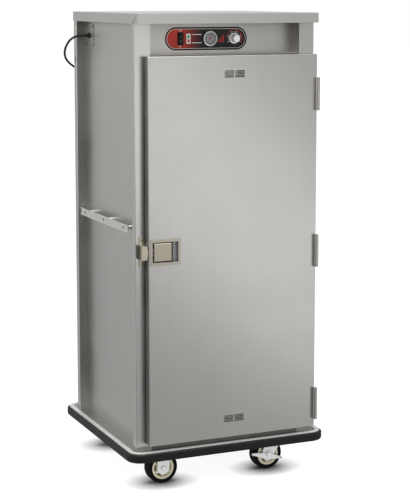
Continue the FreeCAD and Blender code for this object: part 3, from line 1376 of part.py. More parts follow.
def latch_bolt():
    """Sliding bolt with a bevelled nose and a window for the paddle's lug."""
    x = (DOOR_LOW_X - BOLT_OUT, DOOR_LOW_X + BOLT_TAIL)
    z = centred(LATCH_Z, BOLT_H / 2)
    bar = block(x, (BOLT_FRONT_Y, BOLT_BACK_Y), z)
    nose = (
        (x[0], BOLT_BACK_Y, z[0]),
        (x[0] + BOLT_BEVEL, BOLT_BACK_Y, z[0]),
        (x[0], BOLT_BACK_Y - BOLT_BEVEL, z[0]),
    )
    window_x = (PADDLE_PIVOT_X - BOLT_NOTCH_LEFT, PADDLE_PIVOT_X + BOLT_NOTCH_RIGHT)
    window_z = centred(LATCH_Z, LUG_H / 2 + BOLT_NOTCH_FIT)
    window = block(window_x, (BOLT_FRONT_Y, BOLT_BACK_Y), window_z)
    return bar.cut([prism(nose, FreeCAD.Vector(0, 0, BOLT_H)), window])


def wheel_hub(x, y):
    """Cream wheel centre with slots between its spokes."""
    rim = rod_y(x, centred(y, HUB_RIM_W / 2), WHEEL_R, HUB_R)
    rim = rim.cut(rod_y(x, centred(y, HUB_RIM_W / 2), WHEEL_R, HUB_R - HUB_RIM_T))
    web = rod_y(x, centred(y, HUB_WEB_T / 2), WHEEL_R, HUB_R - HUB_RIM_T / 2)
    slot_ring = rod_y(x, centred(y, HUB_WEB_T / 2), WHEEL_R, HUB_SLOT_OUT)
    slot_ring = slot_ring.cut(rod_y(x, centred(y, HUB_WEB_T / 2), WHEEL_R, HUB_SLOT_IN))
    spokes = []
    for index in range(HUB_SPOKES):
        spoke_x = centred(x, HUB_SPOKE_W / 2)
        spoke = block(spoke_x, centred(y, HUB_WEB_T / 2), (WHEEL_R - HUB_R, WHEEL_R))
        spoke.rotate(FreeCAD.Vector(x, y, WHEEL_R), Y_AXIS, 360.0 * index / HUB_SPOKES)
        spokes.append(spoke)
    web = web.cut(slot_ring.cut(spokes))
    boss = rod_y(x, centred(y, LEG_IN - HUB_END_GAP), WHEEL_R, HUB_BOSS_R)
    hub = web.fuse([rim, boss]).removeSplitter()
    return hub.cut(rod_y(x, centred(y, LEG_IN), WHEEL_R, AXLE_R + PIN_FIT))


def wheel_tyre(x, y):
    """Black tyre with rounded shoulders."""
    tyre = rod_y(x, centred(y, TREAD_W / 2), WHEEL_R, WHEEL_R)
    shoulders = [edge for edge in tyre.Edges if edge.BoundBox.YLength < TINY]
    tyre = tyre.makeFillet(TYRE_EDGE, shoulders)
    return tyre.cut(rod_y(x, centred(y, TREAD_W / 2), WHEEL_R, HUB_R + TYRE_FIT))


def axle(x, y, pedal_side):
    """Axle bolt with domed heads, longer on the side that carries a pedal."""
    reach = {-1: LEG_OUT, 1: LEG_OUT}
    if pedal_side:
        reach[pedal_side] = LEG_OUT + PEDAL_T + 2 * PEDAL_GAP
    shaft = rod_y(x, (y - reach[-1], y + reach[1]), WHEEL_R, AXLE_R)
    heads = []
    for side in (-1, 1):
        face = y + side * reach[side]
        span = sorted((face, face + side * AXLE_HEAD_T))
        head = rod_y(x, span, WHEEL_R, AXLE_HEAD_R)
        outer = span[0] if side < 0 else span[1]
        level = [edge for edge in head.Edges if edge.BoundBox.YLength < TINY]
        rim = [edge for edge in level if abs(edge.BoundBox.YMin - outer) < TINY]
        heads.append(head.makeFillet(AXLE_HEAD_T / 2, rim))
    return shaft.fuse(heads).removeSplitter()


def caster_plate(x, y):
    """Top plate of a caster."""
    plate_z = (PLATE_LOW_Z, CASTER_H)
    return block(centred(x, CASTER_PLATE_X / 2), centred(y, CASTER_PLATE_Y / 2), plate_z)


def rigid_fork(x, y):
    """Fixed fork: plate and two straight legs."""
    legs = []
    for side in (-1, 1):
        leg_y = sorted((y + side * LEG_IN, y + side * LEG_OUT))
        leg = block(centred(x, RIGID_LEG_R), leg_y, (WHEEL_R, PLATE_LOW_Z))
        leg = leg.fuse(rod_y(x, leg_y, WHEEL_R, RIGID_LEG_R)).removeSplitter()
        legs.append(leg.cut(rod_y(x, leg_y, WHEEL_R, AXLE_R)))
    return caster_plate(x, y).fuse(legs).removeSplitter()


def rigid_forks():
    """The two fixed forks at the left end, with their axles."""
    made = []
    for y in (-CASTER_Y, CASTER_Y):
        made += [rigid_fork(-CASTER_X, y), axle(-CASTER_X, y, 0)]
    return Part.makeCompound(made)


def swivel_plates():
    """The two swivel heads at the right end: plate, raceway and kingpin."""
    made = []
    for y in (-CASTER_Y, CASTER_Y):
        race = rod_z(CASTER_X, y, (PLATE_LOW_Z - RACE_T, PLATE_LOW_Z), RACE_R)
        pin = rod_z(CASTER_X, y, (CROWN_TOP_Z - CROWN_T, PLATE_LOW_Z), KINGPIN_R)
        made.append(caster_plate(CASTER_X, y).fuse([race, pin]).removeSplitter())
    return Part.makeCompound(made)


def swivel_fork(y, pedal_side):
    """Trailing fork that turns under its swivel head, with its axle."""
    crown_z = (CROWN_TOP_Z - CROWN_T, CROWN_TOP_Z)
    crown_x = (CASTER_X - CROWN_REAR, CASTER_X + CROWN_FRONT)
    crown = block(crown_x, centred(y, LEG_OUT), crown_z)
    crown = crown.cut(rod_z(CASTER_X, y, crown_z, KINGPIN_R + PIN_FIT))
    legs = []
    for side in (-1, 1):
        leg_y = sorted((y + side * LEG_IN, y + side * LEG_OUT))
        outline = (
            (crown_x[0], leg_y[0], CROWN_TOP_Z),
            (crown_x[1], leg_y[0], CROWN_TOP_Z),
            (crown_x[1], leg_y[0], CROWN_TOP_Z - CROWN_T),
            (SWIVEL_AXLE_X + SWIVEL_LEG_R, leg_y[0], WHEEL_R),
            (SWIVEL_AXLE_X - SWIVEL_LEG_R, leg_y[0], WHEEL_R),
        )
        leg = prism(outline, FreeCAD.Vector(0, LEG_T, 0))
        leg = leg.fuse(rod_y(SWIVEL_AXLE_X, leg_y, WHEEL_R, SWIVEL_LEG_R)).removeSplitter()
        legs.append(leg.cut(rod_y(SWIVEL_AXLE_X, leg_y, WHEEL_R, AXLE_R)))
    fork = crown.fuse(legs).removeSplitter()
    return Part.makeCompound([fork, axle(SWIVEL_AXLE_X, y, pedal_side)])


def brake_pedal(y, side):
    """Two-winged brake lever turning on the axle outside the fork."""
    x = SWIVEL_AXLE_X
    near = LEG_OUT + PEDAL_GAP
    lever_y = sorted((y + side * near, y + side * (near + PEDAL_T)))
    ring = rod_y(x, lever_y, WHEEL_R, PEDAL_R)
    middle = WHEEL_R - PEDAL_DROP
    outline = (
        (x - PEDAL_LEFT, lever_y[0], middle - PEDAL_TIP_H / 2),
        (x, lever_y[0], middle - PEDAL_ROOT_H / 2),
        (x + PEDAL_RIGHT, lever_y[0], middle - PEDAL_TIP_H / 2),
        (x + PEDAL_RIGHT, lever_y[0], middle + PEDAL_TIP_H / 2),
        (x, lever_y[0], middle + PEDAL_ROOT_H / 2),
        (x - PEDAL_LEFT, lever_y[0], middle + PEDAL_TIP_H / 2),
    )
    wings = prism(outline, FreeCAD.Vector(0, PEDAL_T, 0))
    flare_y = sorted((y + side * near, y + side * (near + PEDAL_T + PEDAL_FLARE)))
    tips = []
    for tip_x in ((x - PEDAL_LEFT, x - PEDAL_LEFT + PEDAL_T), (x + PEDAL_RIGHT - PEDAL_T, x + PEDAL_RIGHT)):
        tips.append(block(tip_x, flare_y, centred(middle, PEDAL_TIP_H / 2)))
    pedal = ring.fuse([wings] + tips).removeSplitter()
    pedal = pedal.cut(rod_y(x, lever_y, WHEEL_R, AXLE_R + PIN_FIT))
    pedal.rotate(FreeCAD.Vector(x, y, WHEEL_R), Y_AXIS, PEDAL_TILT)
    return pedal


def build():
    """Every piece by its name."""
    green_z, red_z = lens_centres()
    wheel_places = {
        "front_left": (-CASTER_X, -CASTER_Y),
        "rear_left": (-CASTER_X, CASTER_Y),
        "front_right": (SWIVEL_AXLE_X, -CASTER_Y),
        "rear_right": (SWIVEL_AXLE_X, CASTER_Y),
    }
    makers = (
        base_frame, bumper_rail, bumper, corner_posts, side_panels, rear_panel, top_cap, door_frame_rails,
        control_fascia, control_overlay, switch_bezel, switch_rocker, lamp_bezel, thermometer_case,
        thermometer_dial, thermometer_needle, thermometer_glass, thermostat_body, thermostat_knob,
        cavity_liner, wall_insulation, shelf_uprights, shelves, heater_element, heater_cover,
        cord_plate, cord_gland, cord_lead, cord_coil, cord_plug, cord_hook,
        side_handles, handle_spacers, fasteners, latch_strike, hinge_frame_halves,
        door_skin, door_liner, door_core, door_gasket, hinge_door_halves,
        latch_case, latch_paddle, latch_bolt, rigid_forks, swivel_plates,
    )
    pieces = {maker.__name__: maker() for maker in makers}
    pieces["green_lens"] = lens(green_z)
    pieces["red_lens"] = lens(red_z)
    for place, (x, y) in wheel_places.items():
        pieces["hub_" + place] = wheel_hub(x, y)
        pieces["tyre_" + place] = wheel_tyre(x, y)
    for place, side in (("front", -1), ("rear", 1)):
        pieces["swivel_fork_" + place] = swivel_fork(side * CASTER_Y, side)
        pieces["brake_pedal_" + place] = brake_pedal(side * CASTER_Y, side)
    return pieces


def main():
    """Write one file per piece."""
    os.makedirs("parts", exist_ok=True)
    for name, shape in build().items():
        if not shape.isValid():
            print("invalid shape", name)
        shape.exportStep("parts/" + name + ".step")


main()
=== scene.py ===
"""Dresses the heated banquet cabinet: finishes, printed controls, vents, mains lead and studio."""
import math

import bmesh
import bpy
from mathutils import Matrix, Vector


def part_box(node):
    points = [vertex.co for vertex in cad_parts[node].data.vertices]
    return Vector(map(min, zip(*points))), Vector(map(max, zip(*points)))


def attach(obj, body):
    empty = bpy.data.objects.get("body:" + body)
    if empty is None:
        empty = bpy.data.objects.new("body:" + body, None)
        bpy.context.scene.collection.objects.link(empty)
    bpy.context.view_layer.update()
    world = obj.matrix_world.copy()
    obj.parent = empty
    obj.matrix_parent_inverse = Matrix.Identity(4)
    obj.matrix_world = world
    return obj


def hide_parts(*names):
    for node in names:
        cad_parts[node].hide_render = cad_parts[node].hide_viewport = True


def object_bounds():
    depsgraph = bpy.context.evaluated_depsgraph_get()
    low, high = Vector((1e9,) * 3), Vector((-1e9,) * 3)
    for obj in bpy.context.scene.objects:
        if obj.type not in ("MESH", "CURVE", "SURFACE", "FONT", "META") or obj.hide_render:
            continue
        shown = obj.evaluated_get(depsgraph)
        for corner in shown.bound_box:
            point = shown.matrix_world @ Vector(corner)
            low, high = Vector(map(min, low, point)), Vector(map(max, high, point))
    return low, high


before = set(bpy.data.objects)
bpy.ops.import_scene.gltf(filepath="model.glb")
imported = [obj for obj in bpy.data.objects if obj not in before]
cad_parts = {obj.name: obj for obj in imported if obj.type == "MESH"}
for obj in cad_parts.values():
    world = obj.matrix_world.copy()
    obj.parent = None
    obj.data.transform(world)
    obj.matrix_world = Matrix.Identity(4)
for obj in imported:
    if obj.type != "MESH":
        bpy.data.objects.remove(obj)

CAD_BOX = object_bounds()
MM = 0.001

bl_info = {
    "name": "Heated banquet cabinet",
    "version": (1, 0, 0),
    "blender": (4, 5, 0),
    "location": "View3D > Sidebar > Cabinet",
    "description": "Finishes, printed controls, vents, mains lead and studio of a heated banquet cabinet",
    "category": "Object",
}

# Mains lead: its route from the strain relief round the rear left corner to the coil, in metres
LEAD_ROUTE = (
    (-0.369794, 0.263840, 1.774),
    (-0.390467, 0.271365, 1.774),
    (-0.407294, 0.286140, 1.7668),
    (-0.418, 0.305, 1.7545),
    (-0.4225, 0.3285, 1.738),
    (-0.4235, 0.352, 1.719),
    (-0.420, 0.3745, 1.697),
    (-0.4095, 0.393, 1.6745),
    (-0.3915, 0.4025, 1.6545),
    (-0.369, 0.4035, 1.638),
    (-0.3455, 0.3985, 1.623),
    (-0.323525, 0.3896, 1.611),
    (-0.306525, 0.3791, 1.586),
    (-0.295525, 0.3686, 1.558),
    (-0.290525, 0.3591, 1.530),
    (-0.289525, 0.3521, 1.505),
)
COIL_CENTRE = Vector((-0.235, 0.3521, 1.480))
COIL_INNER_R = 0.030
COIL_PITCH = 0.0109
COIL_LAYER = 0.0101
COIL_SPIRAL_TURNS = 2.25
COIL_CROSSING_TURNS = 0.5
COIL_TAIL = 0.060

# Tie of the coil: its crown is a share of its thickness, and its lapped end has shares of its width, of its
# reach and of its thickness
TIE_SLACK = 0.6 * MM
TIE_CROWN = 1.25
TIE_LAP_WIDTH, TIE_LAP_REACH, TIE_LAP_THICKNESS = 0.92, 0.7, 1.2
TIE_LAP_CORNER = 2.0 * MM

# Plug: its sections are mm below the neck and shares of the full section. Those of the blades are mm below
# the plug's face, width and thickness, and those of the earth pin mm below the face and radius
PLUG_NECK, PLUG_BODY = 18 * MM, 26 * MM
PLUG_DEPTH, PLUG_CORNER = 21 * MM, 5.5 * MM
PLUG_SECTIONS = (
    (0, 0.55), (1.5, 0.75), (4, 0.93), (7, 1.0), (9, 0.95),
    (15, 0.93), (19, 0.97), (21, 1.0), (25, 1.0), (26, 0.94),
)
NECK_RIBS = 6
NECK_WALL, NECK_FLARE, NECK_RIB_HEIGHT = 1.0 * MM, 1.2 * MM, 0.9 * MM
BLADE_SECTIONS = ((0, 6.4, 1.5), (15, 6.4, 1.5), (17, 5.0, 0.8))
BLADE_SPREAD, BLADE_DEPTH, BLADE_CORNER = 6.35 * MM, -3.25 * MM, 0.3 * MM
EARTH_SECTIONS = ((0, 2.4), (17, 2.4), (19, 1.7), (20, 0.8))
EARTH_DEPTH = 6.5 * MM

# Vents: places of their middles from the foot and the top of the door, their slits, and the lips over them
VENT_RISE, VENT_DROP = 75 * MM, 72 * MM
SLIT_ROWS, SLIT_PITCH, SLIT_SPREAD = range(-2, 3), 5.85 * MM, 22.75 * MM
LIP_RISE, LIP_HALF_HEIGHT, LIP_HALF_LENGTH = 2.4 * MM, 1.1 * MM, 20.25 * MM
LIP_STEPS, LIP_TURNS = 16, 8

# Printing on the overlay: insets from its edge, rules beside the lamps, words at the switch
BORDER_INSETS = (0.3 * MM, 6 * MM)
LINE_INSETS = (6.6 * MM, 7.8 * MM)
RULE_RISE, RULE_WIDTH, RULE_CORNER, RULE_GAP = 16 * MM, 2.2 * MM, 1.0 * MM, 6 * MM
WORD_HEIGHT, WORD_GAP = 7 * MM, 6 * MM
FIELD_START, FIELD_END = 40 * MM, 165 * MM

# Heat wedge round the thermostat and the bars beside it
WEDGE_TURN, WEDGE_STEPS = math.radians(120), 48
WEDGE_NEAR, WEDGE_START, WEDGE_GROWTH = 33.5 * MM, 0.5 * MM, 3.3 * MM
BARS, BAR_PITCH, BAR_WIDTH, BAR_CORNER = 4, 7.2 * MM, 4.2 * MM, 1.2 * MM
BAR_GAP, BAR_DROP, BAR_HEIGHT, BAR_GROWTH = 7 * MM, 15 * MM, 9 * MM, 7 * MM

# Scales: angles in degrees from straight up, ticks as near and far radius and width in mm, and numbers as
# radius and height in mm. The dial's face is bare of the needle's pin some way below its middle
THERMOSTAT_SCALE = {
    "marks": 21, "numbered": 4, "first": -120, "step": 12, "unit": 0.5,
    "long": (22.6, 28.4, 2.0), "short": (22.6, 26.6, 1.3), "numbers": (30.9, 4.6),
}
THERMOMETER_SCALE = {
    "marks": 26, "numbered": 5, "first": -135, "step": 10.8, "unit": 10,
    "long": (18.6, 23.4, 1.7), "short": (20.4, 23.4, 0.8), "numbers": (14.6, 5.0),
}
DIAL_BARE = 15 * MM

# Pointer of the knob and marks of the switch, whose ring is a hair off round
POINTER_ANGLE = math.radians(-40)
POINTER_NEAR, POINTER_FAR, POINTER_HEIGHT, POINTER_EDGE = 3 * MM, 12.4 * MM, 0.25 * MM, 0.08 * MM
MARK_SIZE, MARK_WIDTH, MARK_CORNER = 7 * MM, 1.3 * MM, 0.4 * MM
MARK_BORE, MARK_HAIR = 4.6 * MM, 0.01 * MM

# Places where a finish changes: depths in the latch's cup where its painted shade and grey pocket start, that
# pocket beside the paddle, and the painted shade on the deck
CUP_RIM, CUP_DEEP, CUP_POCKET = 1.7 * MM, 9 * MM, 14 * MM
DOOR_SHADE_START, DOOR_SHADE_END = 20 * MM, 70 * MM

# Brush marks of the stainless sheet: their lengths along X, Y and Z in mm
UPRIGHT_GRAIN, LEVEL_GRAIN = (1.4, 1.4, 240.0), (240.0, 1.4, 1.4)

# Camera that saw the photograph
CAMERA_PLACE = Vector((-2.4369, -5.7057, 1.9458))
CAMERA_YAW = math.radians(-23.68)
CAMERA_PITCH = math.radians(7.25)
CAMERA_LENS = 108.17
CAMERA_SENSOR = 36.0
CAMERA_SHIFT_Y = -0.13

# Soft lights: place, point looked at, width and height in metres, power in watts, roll in radians, and
# whether the metal mirrors them
SOFTBOXES = {
    "door_softbox": ((0.765, -2.25, 0.91), (0.0, -0.40, 0.86), (2.40, 1.00), 4.0, -0.75, True),
    "fill_softbox": ((-1.2, -3.4, 1.10), (0.0, -0.3, 0.90), (2.0, 2.6), 34.0, 0.0, False),
    "top_softbox": ((-0.60, -1.20, 4.20), (0.0, 0.0, 0.9), (3.2, 3.2), 150.0, 0.0, True),
    "left_softbox": ((-4.2, 0.4, 2.0), (-0.4, 0.0, 0.9), (2.4, 2.6), 45.0, 0.0, True),
}
FLOOR_REACH = 40.0

# Surroundings: a room that is paler above, with a pale wall, a bright window side and a dark front. Heights
# and spreads are parts of a direction of length 1
ROOM_LOW, ROOM_HIGH, ROOM_HEIGHTS = 0.29, 0.75, (-0.6, 0.9)
WALL_SIDE, WALL_GLOW = (-0.36, 0.93, 0.0), 0.06
WINDOW_SIDE, WINDOW_GLOW = (0.40, -0.92, 0.0), 0.05
GLOW_SPREAD = (0.2, 1.0)
FRONT_SIDE, FRONT_DIM, FRONT_SPREAD = (-0.39, -0.91, -0.14), 0.05, (0.90, 0.97)

# Socket numbers of a Mix node that mixes colours
FACTOR, FIRST, SECOND, MIXED = 0, 6, 7, 2


def linear(hex_value):
    """Linear colour, with full alpha, of an sRGB hex value."""
    parts = [int(hex_value[place:place + 2], 16) / 255 for place in (1, 3, 5)]
    return tuple(p / 12.92 if p <= 0.04045 else ((p + 0.055) / 1.055) ** 2.4 for p in parts) + (1.0,)


def size_setting(name, description, metres):
    """Length that a user may change."""
    return bpy.props.FloatProperty(
        name=name, description=description, default=metres, min=0.0, precision=5, unit="LENGTH"
    )


def colour_setting(name, description, hex_value):
    """Colour that a user may change."""
    return bpy.props.FloatVectorProperty(
        name=name, description=description, default=linear(hex_value), size=4, min=0.0, max=1.0,
        subtype="COLOR",
    )


class CabinetSizes(bpy.types.PropertyGroup):
    """Sizes of the pieces that are added to the frame."""

    lead_diameter: size_setting("Lead", "Diameter of the mains lead's jacket", 9.2 * MM)
    tie_width: size_setting("Tie width", "Width of the strap round the coiled lead", 14 * MM)
    tie_thickness: size_setting("Tie thickness", "Thickness of the strap round the coiled lead", 1.2 * MM)
    ink: size_setting("Ink", "Thickness of the printing on the overlay, dial and switch", 0.1 * MM)
    louvre: size_setting("Louvre", "How far a vent louvre stands out of the door", 1.6 * MM)
    pointer: size_setting("Pointer", "Width of the thermostat knob's pointer", 1.8 * MM)
    lead_turn_points: bpy.props.IntProperty(
        name="Points per turn", description="Control points in a turn of the coiled lead", default=24, min=12
    )


class CabinetColours(bpy.types.PropertyGroup):
    """Colours of the cabinet's finishes."""

    steel: colour_setting("Steel", "Brushed stainless sheet", "#CDCCC9")
    steel_shade: colour_setting("Steel shade", "Darker streaks of the brushed sheet", "#C4C3C0")
    dull_steel: colour_setting("Dull steel", "Mill-finish sheet of the recess and cord plate", "#CAC8C2")
    nickel: colour_setting("Nickel", "Satin nickel of the strike", "#CFC7B4")
    chrome: colour_setting("Chrome", "Polished plate of the thermometer and shelves", "#EEEEEC")
    zinc: colour_setting("Zinc", "Bright zinc of the casters, hook, bolt and knob", "#EFF0EF")
    aluminium: colour_setting("Aluminium", "Rail that holds the bumper", "#E6E7E5")
    black: colour_setting("Black", "Vinyl of the bumper", "#0F0F10")
    cream: colour_setting("Cream", "Wheel hubs", "#C8C2AA")
    charcoal: colour_setting("Charcoal", "Ground of the control overlay", "#121213")
    red: colour_setting("Red", "Red printing", "#A02A1A")
    green: colour_setting("Green", "Green lens", "#2FA552")
    pale: colour_setting("Pale", "Pale printing and lamp frame", "#E3E3DF")


def colours():
    """The colours that the user has set."""
    return bpy.context.scene.cabinet_colours


def sizes():
    """The sizes that the user has set."""
    return bpy.context.scene.cabinet_sizes


def add(tree, kind, inputs=None, **settings):
    """Node of a kind, with its settings and with its inputs set or linked."""
    node = tree.nodes.new("ShaderNode" + kind)
    for name, value in settings.items():
        setattr(node, name, value)
    feed(tree, node, inputs or {})
    return node


def feed(tree, node, inputs):
    """Sets a node's inputs to values or links them to outputs, a node's first where a node is given."""
    for socket, source in inputs.items():
        if isinstance(source, bpy.types.Node):
            tree.links.new(source.outputs[0], node.inputs[socket])
        elif isinstance(source, bpy.types.NodeSocket):
            tree.links.new(source, node.inputs[socket])
        else:
            node.inputs[socket].default_value = source


def per_size(*millimetres):
    """Repeats in a metre of patterns that are so many millimetres long."""
    return tuple(1 / (size * MM) for size in millimetres)


def scaled(colour, factor):
    """Colour made lighter or darker by a factor."""
    return tuple(min(1.0, part * factor) for part in colour[:3]) + (1.0,)


def start(name):
    """New material with its nodes, its surface shader and the places on its object."""
    material = bpy.data.materials.new(name)
    material.use_nodes = True
    tree = material.node_tree
    place = add(tree, "TexCoord").outputs["Object"]
    return material, tree, tree.nodes["Principled BSDF"], place


def finish(make):
    """Material that a function makes, made once and named after it."""
    return bpy.data.materials.get(make.__name__) or make(make.__name__)


def stain(material, cover, colour):
    """Lays a colour over a finish as painted shade, as far as a value from none to full covers it."""
    tree = material.node_tree
    shader = tree.nodes["Principled BSDF"]
    below = shader.inputs["Base Color"].links[0].from_socket
    over = add(tree, "Mix", {FACTOR: cover, FIRST: below, SECOND: colour}, data_type="RGBA")
    feed(tree, shader, {"Base Color": over.outputs[MIXED]})
    return material


def brushed_stainless(name, grain, colour, haze):
    """Stainless sheet brushed by an abrasive belt along the grain."""
    # The belt's scratches draw out reflections across the grain and leave faint light and dark streaks.
    # Real scratches are about 0.1 mm apart, drawn coarser here so that they show.
    material, tree, shader, place = start(name)
    fine = add(tree, "Mapping", {"Vector": place, "Scale": per_size(*grain)})
    scratches = add(tree, "TexNoise", {"Vector": fine, "Scale": 1.0, "Detail": 4.0})
    broad = [size * 9 for size in grain]
    bands = add(tree, "Mapping", {"Vector": place, "Scale": per_size(*broad)})
    streaks = add(tree, "TexNoise", {"Vector": bands, "Scale": 1.0, "Detail": 2.0})
    rubs = add(tree, "TexNoise", {"Vector": place, "Scale": per_size(180)[0], "Detail": 3.0})
    tone = add(
        tree, "MapRange",
        {"Value": streaks, "From Min": 0.3, "From Max": 0.7, "To Min": 0.0, "To Max": 0.15},
    )
    shade = add(tree, "Mix", {FACTOR: tone, FIRST: colour, SECOND: colours().steel_shade}, data_type="RGBA")
    gloss = add(
        tree, "MapRange",
        {"Value": rubs, "From Min": 0.3, "From Max": 0.7, "To Min": haze[0], "To Max": haze[1]},
    )
    relief = add(tree, "Bump", {"Height": scratches, "Strength": 0.04, "Distance": 0.15 * MM})
    feed(tree, shader, {
        "Base Color": shade.outputs[MIXED], "Metallic": 1.0, "Roughness": gloss, "Normal": relief,
    })
    return material


def upright_stainless(name):
    """Brushed stainless with its grain upright, even and softly bright: door, rear panel and liner."""
    return brushed_stainless(name, UPRIGHT_GRAIN, colours().steel, (0.30, 0.35))


def satin_stainless(name):
    """Stainless side panels rubbed to a duller satin, which spreads reflections widely."""
    return brushed_stainless(name, UPRIGHT_GRAIN, colours().steel, (0.36, 0.42))


def level_stainless(name):
    """Brushed stainless with its grain along the width, a soft grey: cap and heater cover."""
    return brushed_stainless(name, LEVEL_GRAIN, colours().steel, (0.38, 0.44))


def mill_stainless(name):
    """Stainless as rolled, left dull where little shows: recess and cord plate."""
    return brushed_stainless(name, LEVEL_GRAIN, colours().dull_steel, (0.34, 0.40))


def deck_stainless(name):
    """Grey stainless of the deck, with painted shade in front of the door and under its foot, fading towards
    the back.
    """
    material = brushed_stainless(name, LEVEL_GRAIN, linear("#B2B1AD"), (0.28, 0.32))
    tree = material.node_tree
    door_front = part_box("door_skin")[0].y
    place = add(tree, "TexCoord").outputs["Object"]
    # Painted shade: the deck darkens towards #5C5B57 in front of the door and under its foot, fading out
    # behind
    painted_door_shade = add(
        tree, "MapRange",
        {
            "Value": add(tree, "SeparateXYZ", {"Vector": place}).outputs["Y"],
            "From Min": door_front + DOOR_SHADE_START, "From Max": door_front + DOOR_SHADE_END,
            "To Min": 1.0, "To Max": 0.0,
        },
    )
    return stain(material, painted_door_shade, linear("#5C5B57"))


def rail_stainless(name):
    """Stainless of the header, sill and louvres, its colour darkened as painted shade where they lie in
    shade.
    """
    # Painted shade: the grey #8F8E89 is darker than the sheet to stand for the shade these parts lie in
    return brushed_stainless(name, LEVEL_GRAIN, linear("#8F8E89"), (0.34, 0.40))


def post_stainless(name):
    """Stainless of the posts, folded from a finer sheet: clearer reflections, a trace of upright grain."""
    return brushed_stainless(name, UPRIGHT_GRAIN, linear("#D2D1CE"), (0.26, 0.30))


def plated(name, colour, roughness, speck, relief, metallic=1.0):
    """Plated metal: an even bright skin with a slight unevenness that comes from the metal below."""
    material, tree, shader, place = start(name)
    grain = add(tree, "TexNoise", {"Vector": place, "Scale": per_size(speck)[0], "Detail": 4.0})
    gloss = add(
        tree, "MapRange",
        {
            "Value": grain, "From Min": 0.3, "From Max": 0.7,
            "To Min": roughness * 0.8, "To Max": roughness * 1.25,
        },
    )
    tint = add(tree, "Mix", {FACTOR: grain, FIRST: colour, SECOND: scaled(colour, 0.9)}, data_type="RGBA")
    bump = add(tree, "Bump", {"Height": grain, "Strength": relief, "Distance": 0.1 * MM})
    feed(tree, shader, {
        "Base Color": tint.outputs[MIXED], "Metallic": metallic, "Roughness": gloss, "Normal": bump,
    })
    return material


def frosted_stainless(name):
    """Bright stainless of the side handles, blasted to a fine frost that scatters some of the light."""
    return plated(name, linear("#CFCECC"), 0.34, 1.0, 0.05, 0.65)


def chrome_plate(name):
    """Polished chrome plate: sharp reflections, hardly any texture."""
    return plated(name, colours().chrome, 0.12, 6.0, 0.02)


def satin_nickel(name):
    """Satin nickel plate: warm grey with soft reflections."""
    return plated(name, colours().nickel, 0.24, 2.0, 0.05)


def handled_nickel(name):
    """Satin nickel of the paddle, dulled by hands: a darker warm grey."""
    return plated(name, linear("#B4AD9C"), 0.36, 2.0, 0.05, 0.85)


def latch_cup(name):
    """Satin nickel face plate on a cup with painted shade, near black, on its walls and on its back beside
    the paddle, and a grey finger recess.
    """
    material, tree, shader, place = start(name)
    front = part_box("latch_case")[0].y
    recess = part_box("latch_paddle")[1].x + CUP_POCKET
    along = add(tree, "SeparateXYZ", {"Vector": place}).outputs
    painted_shade_walls, deep, beside = [
        add(tree, "Math", {0: along[axis], 1: limit}, operation="GREATER_THAN")
        for axis, limit in (("Y", front + CUP_RIM), ("Y", front + CUP_DEEP), ("X", recess))
    ]
    pocket = add(tree, "Math", {0: deep, 1: beside}, operation="MULTIPLY")
    tint = linear("#BEB9AC")
    # Painted shade: the walls and the back beside the paddle are near black, as shade in the cup; further
    # along, the back is a grey non-metal
    for part, colour in ((painted_shade_walls, linear("#232324")), (pocket, linear("#8B8C8F"))):
        over = add(tree, "Mix", {FACTOR: part, FIRST: tint, SECOND: colour}, data_type="RGBA")
        tint = over.outputs[MIXED]
    metal = add(tree, "MapRange", {"Value": pocket, "To Min": 1.0, "To Max": 0.1})
    grain = add(tree, "TexNoise", {"Vector": place, "Scale": per_size(2.0)[0], "Detail": 4.0})
    gloss = add(tree, "MapRange", {"Value": grain, "To Min": 0.26, "To Max": 0.44})
    bump = add(tree, "Bump", {"Height": grain, "Strength": 0.05, "Distance": 0.1 * MM})
    feed(tree, shader, {"Base Color": tint, "Metallic": metal, "Roughness": gloss, "Normal": bump})
    return material


def bright_zinc(name):
    """Bright zinc plate on pressed steel: pale, with a fine chalky bloom and painted shade darkening its
    corners.
    """
    material = plated(name, colours().zinc, 0.32, 5.0, 0.06, 0.35)
    tree = material.node_tree
    # Painted shade: the zinc darkens towards #4E4C46 where other surfaces come within 7 mm, in its corners
    # and crevices
    near = add(tree, "AmbientOcclusion", {"Color": linear("#FFFFFF"), "Distance": 7 * MM}, samples=16)
    painted_crevice_shade = add(
        tree, "MapRange",
        {"Value": near.outputs["AO"], "From Min": 0.45, "From Max": 0.85, "To Min": 0.85, "To Max": 0.0},
    )
    return stain(material, painted_crevice_shade, linear("#4E4C46"))


def screw_steel(name):
    """Stainless screw heads: domed, and darker than the sheet through a painted reflection of the dark room
    in their colour.
    """
    # Painted reflection: the dark grey stands in for the dark room that the domes mirror
    return plated(name, linear("#8E8E8B"), 0.22, 2.0, 0.03)


def hinge_steel(name):
    """Turned stainless of the hinges: dull grey and slightly uneven."""
    return plated(name, linear("#CFCDC7"), 0.30, 2.0, 0.05)


def mill_aluminium(name):
    """Extruded aluminium as it leaves the die: pale, with a dull bloom that scatters light."""
    return plated(name, colours().aluminium, 0.28, 3.0, 0.05, 0.55)


def sheathed_alloy(name):
    """Heat-tinted alloy sheath of the heater element: dark, dull and a little brown."""
    return plated(name, linear("#5B534D"), 0.48, 4.0, 0.10)


def nickel_brass(name):
    """Nickel-plated brass of the plug's pins: smooth and slightly yellow."""
    return plated(name, linear("#D3CBB5"), 0.20, 3.0, 0.02)


